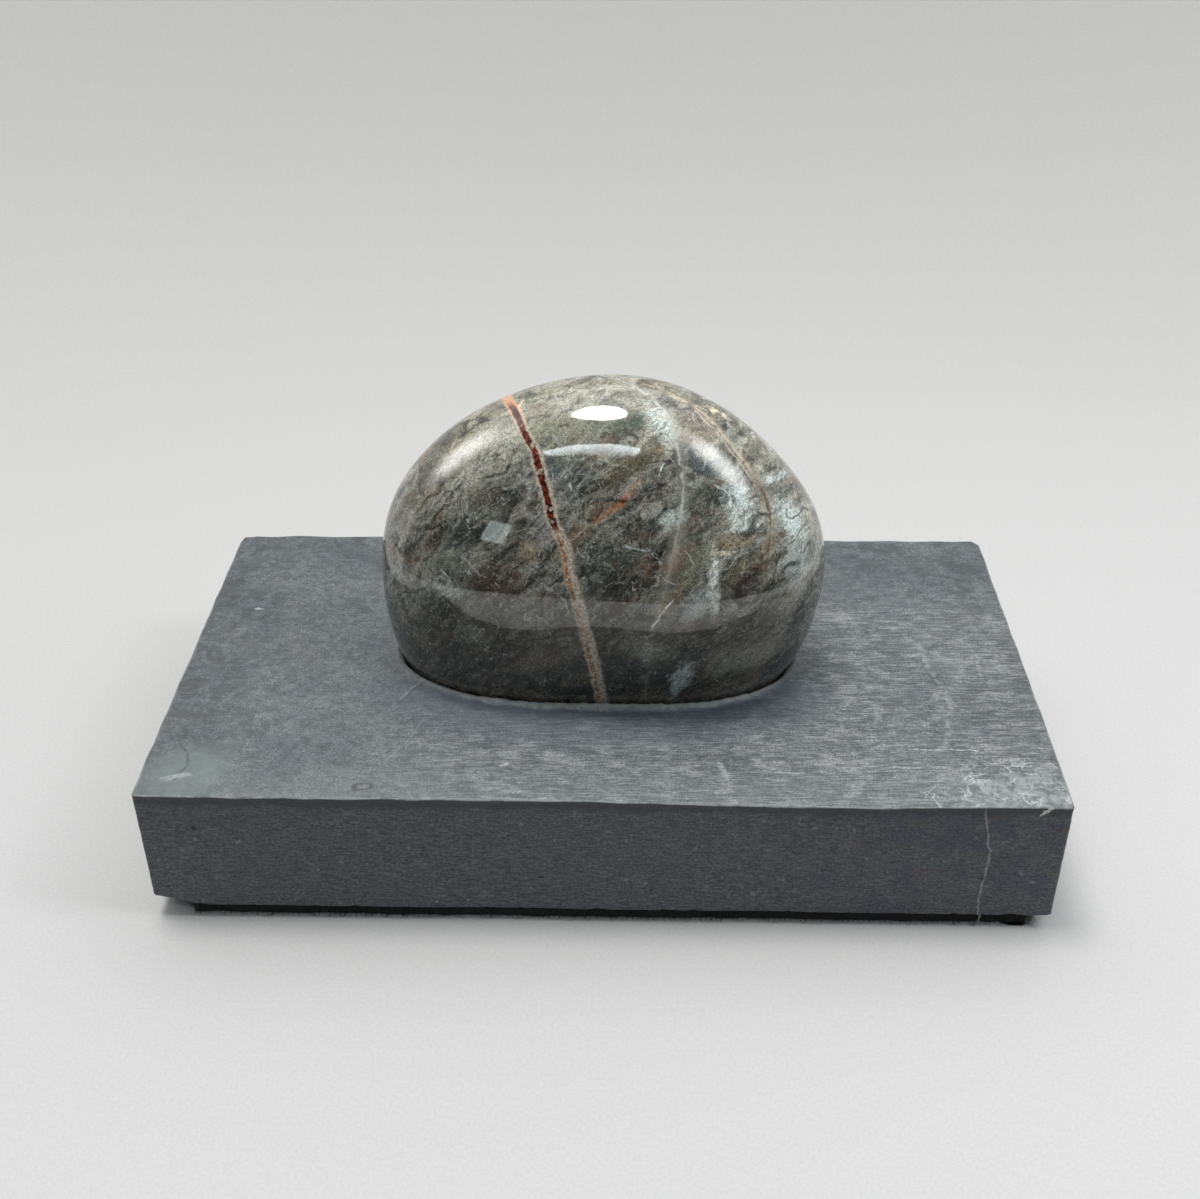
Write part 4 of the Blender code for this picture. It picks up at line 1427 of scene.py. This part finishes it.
# Paper: a round floor that curves up into a wall all round, so that every view has the
# same plain background. The photographer's half of the wall neither lights nor mirrors.
PAPER_DISC = 0.20
PAPER_FLAT = 0.26
PAPER_CURVE = 0.34
PAPER_HEIGHT = 0.50
PAPER_TURNS = 72
WALL_STEPS = 16
PAPER_DARK = (0.610, 0.610, 0.608)
PAPER_PALE = (0.650, 0.650, 0.648)


def paper_material():
    paint = Paint("pale_paper")
    fibres = paint.noise(paint.place(), 0.7, 1.0, 0.6)
    colour = paint.mix(paint.fade(fibres, 0.3, 0.7), PAPER_DARK, PAPER_PALE)
    return paint.finish(Base_Color=colour, Roughness=0.9)


def paper_part(name, profile, start, end, material):
    """A profile of (radius, height) points swept round the object from one angle to another."""
    vertices = []
    faces = []
    turns = round(PAPER_TURNS * (end - start) / math.pi)
    for i in range(turns + 1):
        angle = start + (end - start) * i / turns
        for radius, height in profile:
            vertices.append((radius * math.cos(angle), radius * math.sin(angle), height))
    for i in range(turns):
        for j in range(len(profile) - 1):
            low = i * len(profile) + j
            faces.append((low, low + len(profile), low + len(profile) + 1, low + 1))
    paper = mesh_object(name, vertices, faces)
    paper.data.materials.append(material)
    return paper


def make_paper():
    wall = [(PAPER_DISC, 0.0)]
    for i in range(WALL_STEPS + 1):
        bend = QUARTER_TURN * i / WALL_STEPS
        wall.append((PAPER_FLAT + PAPER_CURVE * math.sin(bend), PAPER_CURVE * (1.0 - math.cos(bend))))
    wall.append((PAPER_FLAT + PAPER_CURVE, PAPER_HEIGHT))
    material = paper_material()
    paper_part("paper_floor", [(0.0, 0.0), (PAPER_DISC, 0.0)], 0.0, 2.0 * math.pi, material)
    paper_part("paper_back", wall, 0.0, math.pi, material)
    front = paper_part("paper_front", wall, math.pi, 2.0 * math.pi, material)
    front.visible_diffuse = False
    front.visible_glossy = False
    front.visible_shadow = False


def only_seen_in_gloss(obj):
    obj.visible_camera = False
    obj.visible_diffuse = False
    obj.visible_shadow = False
    obj.visible_transmission = False
    obj.visible_volume_scatter = False


CARD_HEIGHT = 0.0008
CARD_COLOUR = (0.04, 0.04, 0.045)


def dark_card(name, low, high):
    """A dark sheet just above the floor that only the polish of the stone mirrors."""
    z = CARD_HEIGHT
    corners = [(low[0], low[1], z), (high[0], low[1], z), (high[0], high[1], z), (low[0], high[1], z)]
    card = mesh_object(name, corners, [(0, 1, 2, 3)])
    card.data.materials.append(Paint(name).finish(Base_Color=CARD_COLOUR, Roughness=1.0))
    only_seen_in_gloss(card)


def aim(direction, distance):
    """A place in a direction from the stone, and the turn that faces back to it."""
    towards = Vector(direction).normalized()
    turn = towards.to_track_quat("Z", "Y").to_matrix().to_4x4()
    return Matrix.Translation(STONE_CENTRE + towards * distance) @ turn


def direction_of(azimuth, elevation):
    """Azimuth from the front towards the right, and elevation above the floor, in degrees."""
    a = math.radians(azimuth)
    e = math.radians(elevation)
    return Vector((math.sin(a) * math.cos(e), -math.cos(a) * math.cos(e), math.sin(e)))


def panel_place(azimuth, elevation, distance, tilt):
    turned = Matrix.Rotation(math.radians(tilt), 4, "Z")
    return aim(direction_of(azimuth, elevation), distance) @ turned


def soft_panel(name, azimuth, elevation, distance, size, strength, colour, softness, tilt=0.0):
    """A glowing panel. Its light fades towards its edges over a share of its half size."""
    half_width = size[0] / 2
    half_height = size[1] / 2
    corners = [
        (-half_width, -half_height, 0.0),
        (-half_width, half_height, 0.0),
        (half_width, half_height, 0.0),
        (half_width, -half_height, 0.0),
    ]
    panel = mesh_object(name, corners, [(0, 1, 2, 3)])
    panel.matrix_world = panel_place(azimuth, elevation, distance, tilt)
    paint = Paint(name)
    x, y, _ = paint.split(paint.coordinates())
    across = paint.fade(paint.absolute(x), half_width, half_width * (1.0 - softness))
    along = paint.fade(paint.absolute(y), half_height, half_height * (1.0 - softness))
    show_only_its_light(panel, glowing(paint, colour, strength, paint.times(across, along)))
    return panel


def glowing(paint, colour, strength, cover):
    """A panel's light, which is clear where it isn't lit."""
    paint.finish(Base_Color=(0.0, 0.0, 0.0), Roughness=1.0, IOR=1.0, Alpha=cover)
    return paint.finish(Emission_Color=colour, Emission_Strength=strength)


def show_only_its_light(panel, material):
    panel.data.materials.append(material)
    panel.visible_camera = False
    panel.visible_shadow = False


DISC_STEPS = 32
DISC_DIMMEST = 0.25


def half_round_panel(name, azimuth, elevation, distance, half_width, drop, tilt, strength, colour):
    """A glowing half disc with its straight edge up, at the given elevation, and dimmer below."""
    corners = [(0.0, 0.0, 0.0)]
    for i in range(DISC_STEPS + 1):
        turn = math.pi * i / DISC_STEPS
        corners.append((-half_width * math.cos(turn), -drop * math.sin(turn), 0.0))
    panel = mesh_object(name, corners, [(0, i + 1, i + 2) for i in range(DISC_STEPS)])
    panel.matrix_world = panel_place(azimuth, elevation, distance, tilt)
    paint = Paint(name)
    _, y, _ = paint.split(paint.coordinates())
    cover = paint.fade(y, -drop, 0.0, DISC_DIMMEST, 1.0)
    show_only_its_light(panel, glowing(paint, colour, strength, cover))


LAMP_WATTS = 10.4
LAMP_SIZE = 0.50
LAMP_COLOUR = (1.0, 0.975, 0.94)
LAMP_TOWARDS = (-0.19, 0.05, 0.98)
LAMP_DISTANCE = 1.45


def make_lamp():
    """Round lamp almost straight above, a little to the left."""
    data = bpy.data.lights.new("round_lamp", "AREA")
    data.shape = "DISK"
    data.size = LAMP_SIZE
    data.energy = LAMP_WATTS
    data.color = LAMP_COLOUR
    lamp = bpy.data.objects.new("round_lamp", data)
    lamp.matrix_world = aim(LAMP_TOWARDS, LAMP_DISTANCE)
    lamp.visible_camera = False
    bpy.context.scene.collection.objects.link(lamp)


ROOM_DARK = 0.04
ROOM_ABOVE = 0.38
ROOM_BEHIND = 1.2
ROOM_COLOUR = (0.97, 0.985, 1.0)


def make_room():
    """A dark room in front, a dim ceiling and a bright wall high up behind."""
    world = bpy.data.worlds.new("room")
    bpy.context.scene.world = world
    paint = Paint("room", world)
    _, back, height = paint.split(paint.coordinates("Generated"))
    ceiling = paint.fade(height, 0.70, 0.95, 0.0, ROOM_ABOVE)
    behind = paint.times(paint.fade(back, -0.10, 0.40), paint.fade(height, 0.25, 0.55, 0.0, ROOM_BEHIND))
    paint.finish(Color=ROOM_COLOUR, Strength=paint.plus(paint.plus(ceiling, behind), ROOM_DARK))


def make_stage():
    make_paper()
    dark_card("dark_table_front", (-1.5, -1.5), (1.5, -0.20))
    dark_card("dark_table_left", (-1.5, -0.20), (-0.25, 0.5))
    make_lamp()
    left = soft_panel("panel_left", -101.0, 37.0, 0.52, (0.32, 0.44), 7.0, (1.0, 0.99, 0.97), 0.95)
    left.visible_diffuse = False
    soft_panel("panel_right", 75.0, 48.0, 0.52, (0.26, 0.46), 8.0, (0.97, 0.99, 1.0), 0.95)
    half_round_panel("panel_front", -25.0, 56.5, 1.1, 0.27, 0.18, 20.0, 8.0, (0.88, 0.97, 1.0))
    soft_panel("panel_small", -33.4, 12.0, 1.1, (0.18, 0.14), 2.5, (0.86, 1.0, 0.97), 0.04, -8.0)
    make_room()


def main():
    scene = bpy.context.scene
    scene.view_settings.view_transform = "Standard"
    make_camera()
    make_stage()
    make_stone()
    make_slab()
    make_felt()


main()
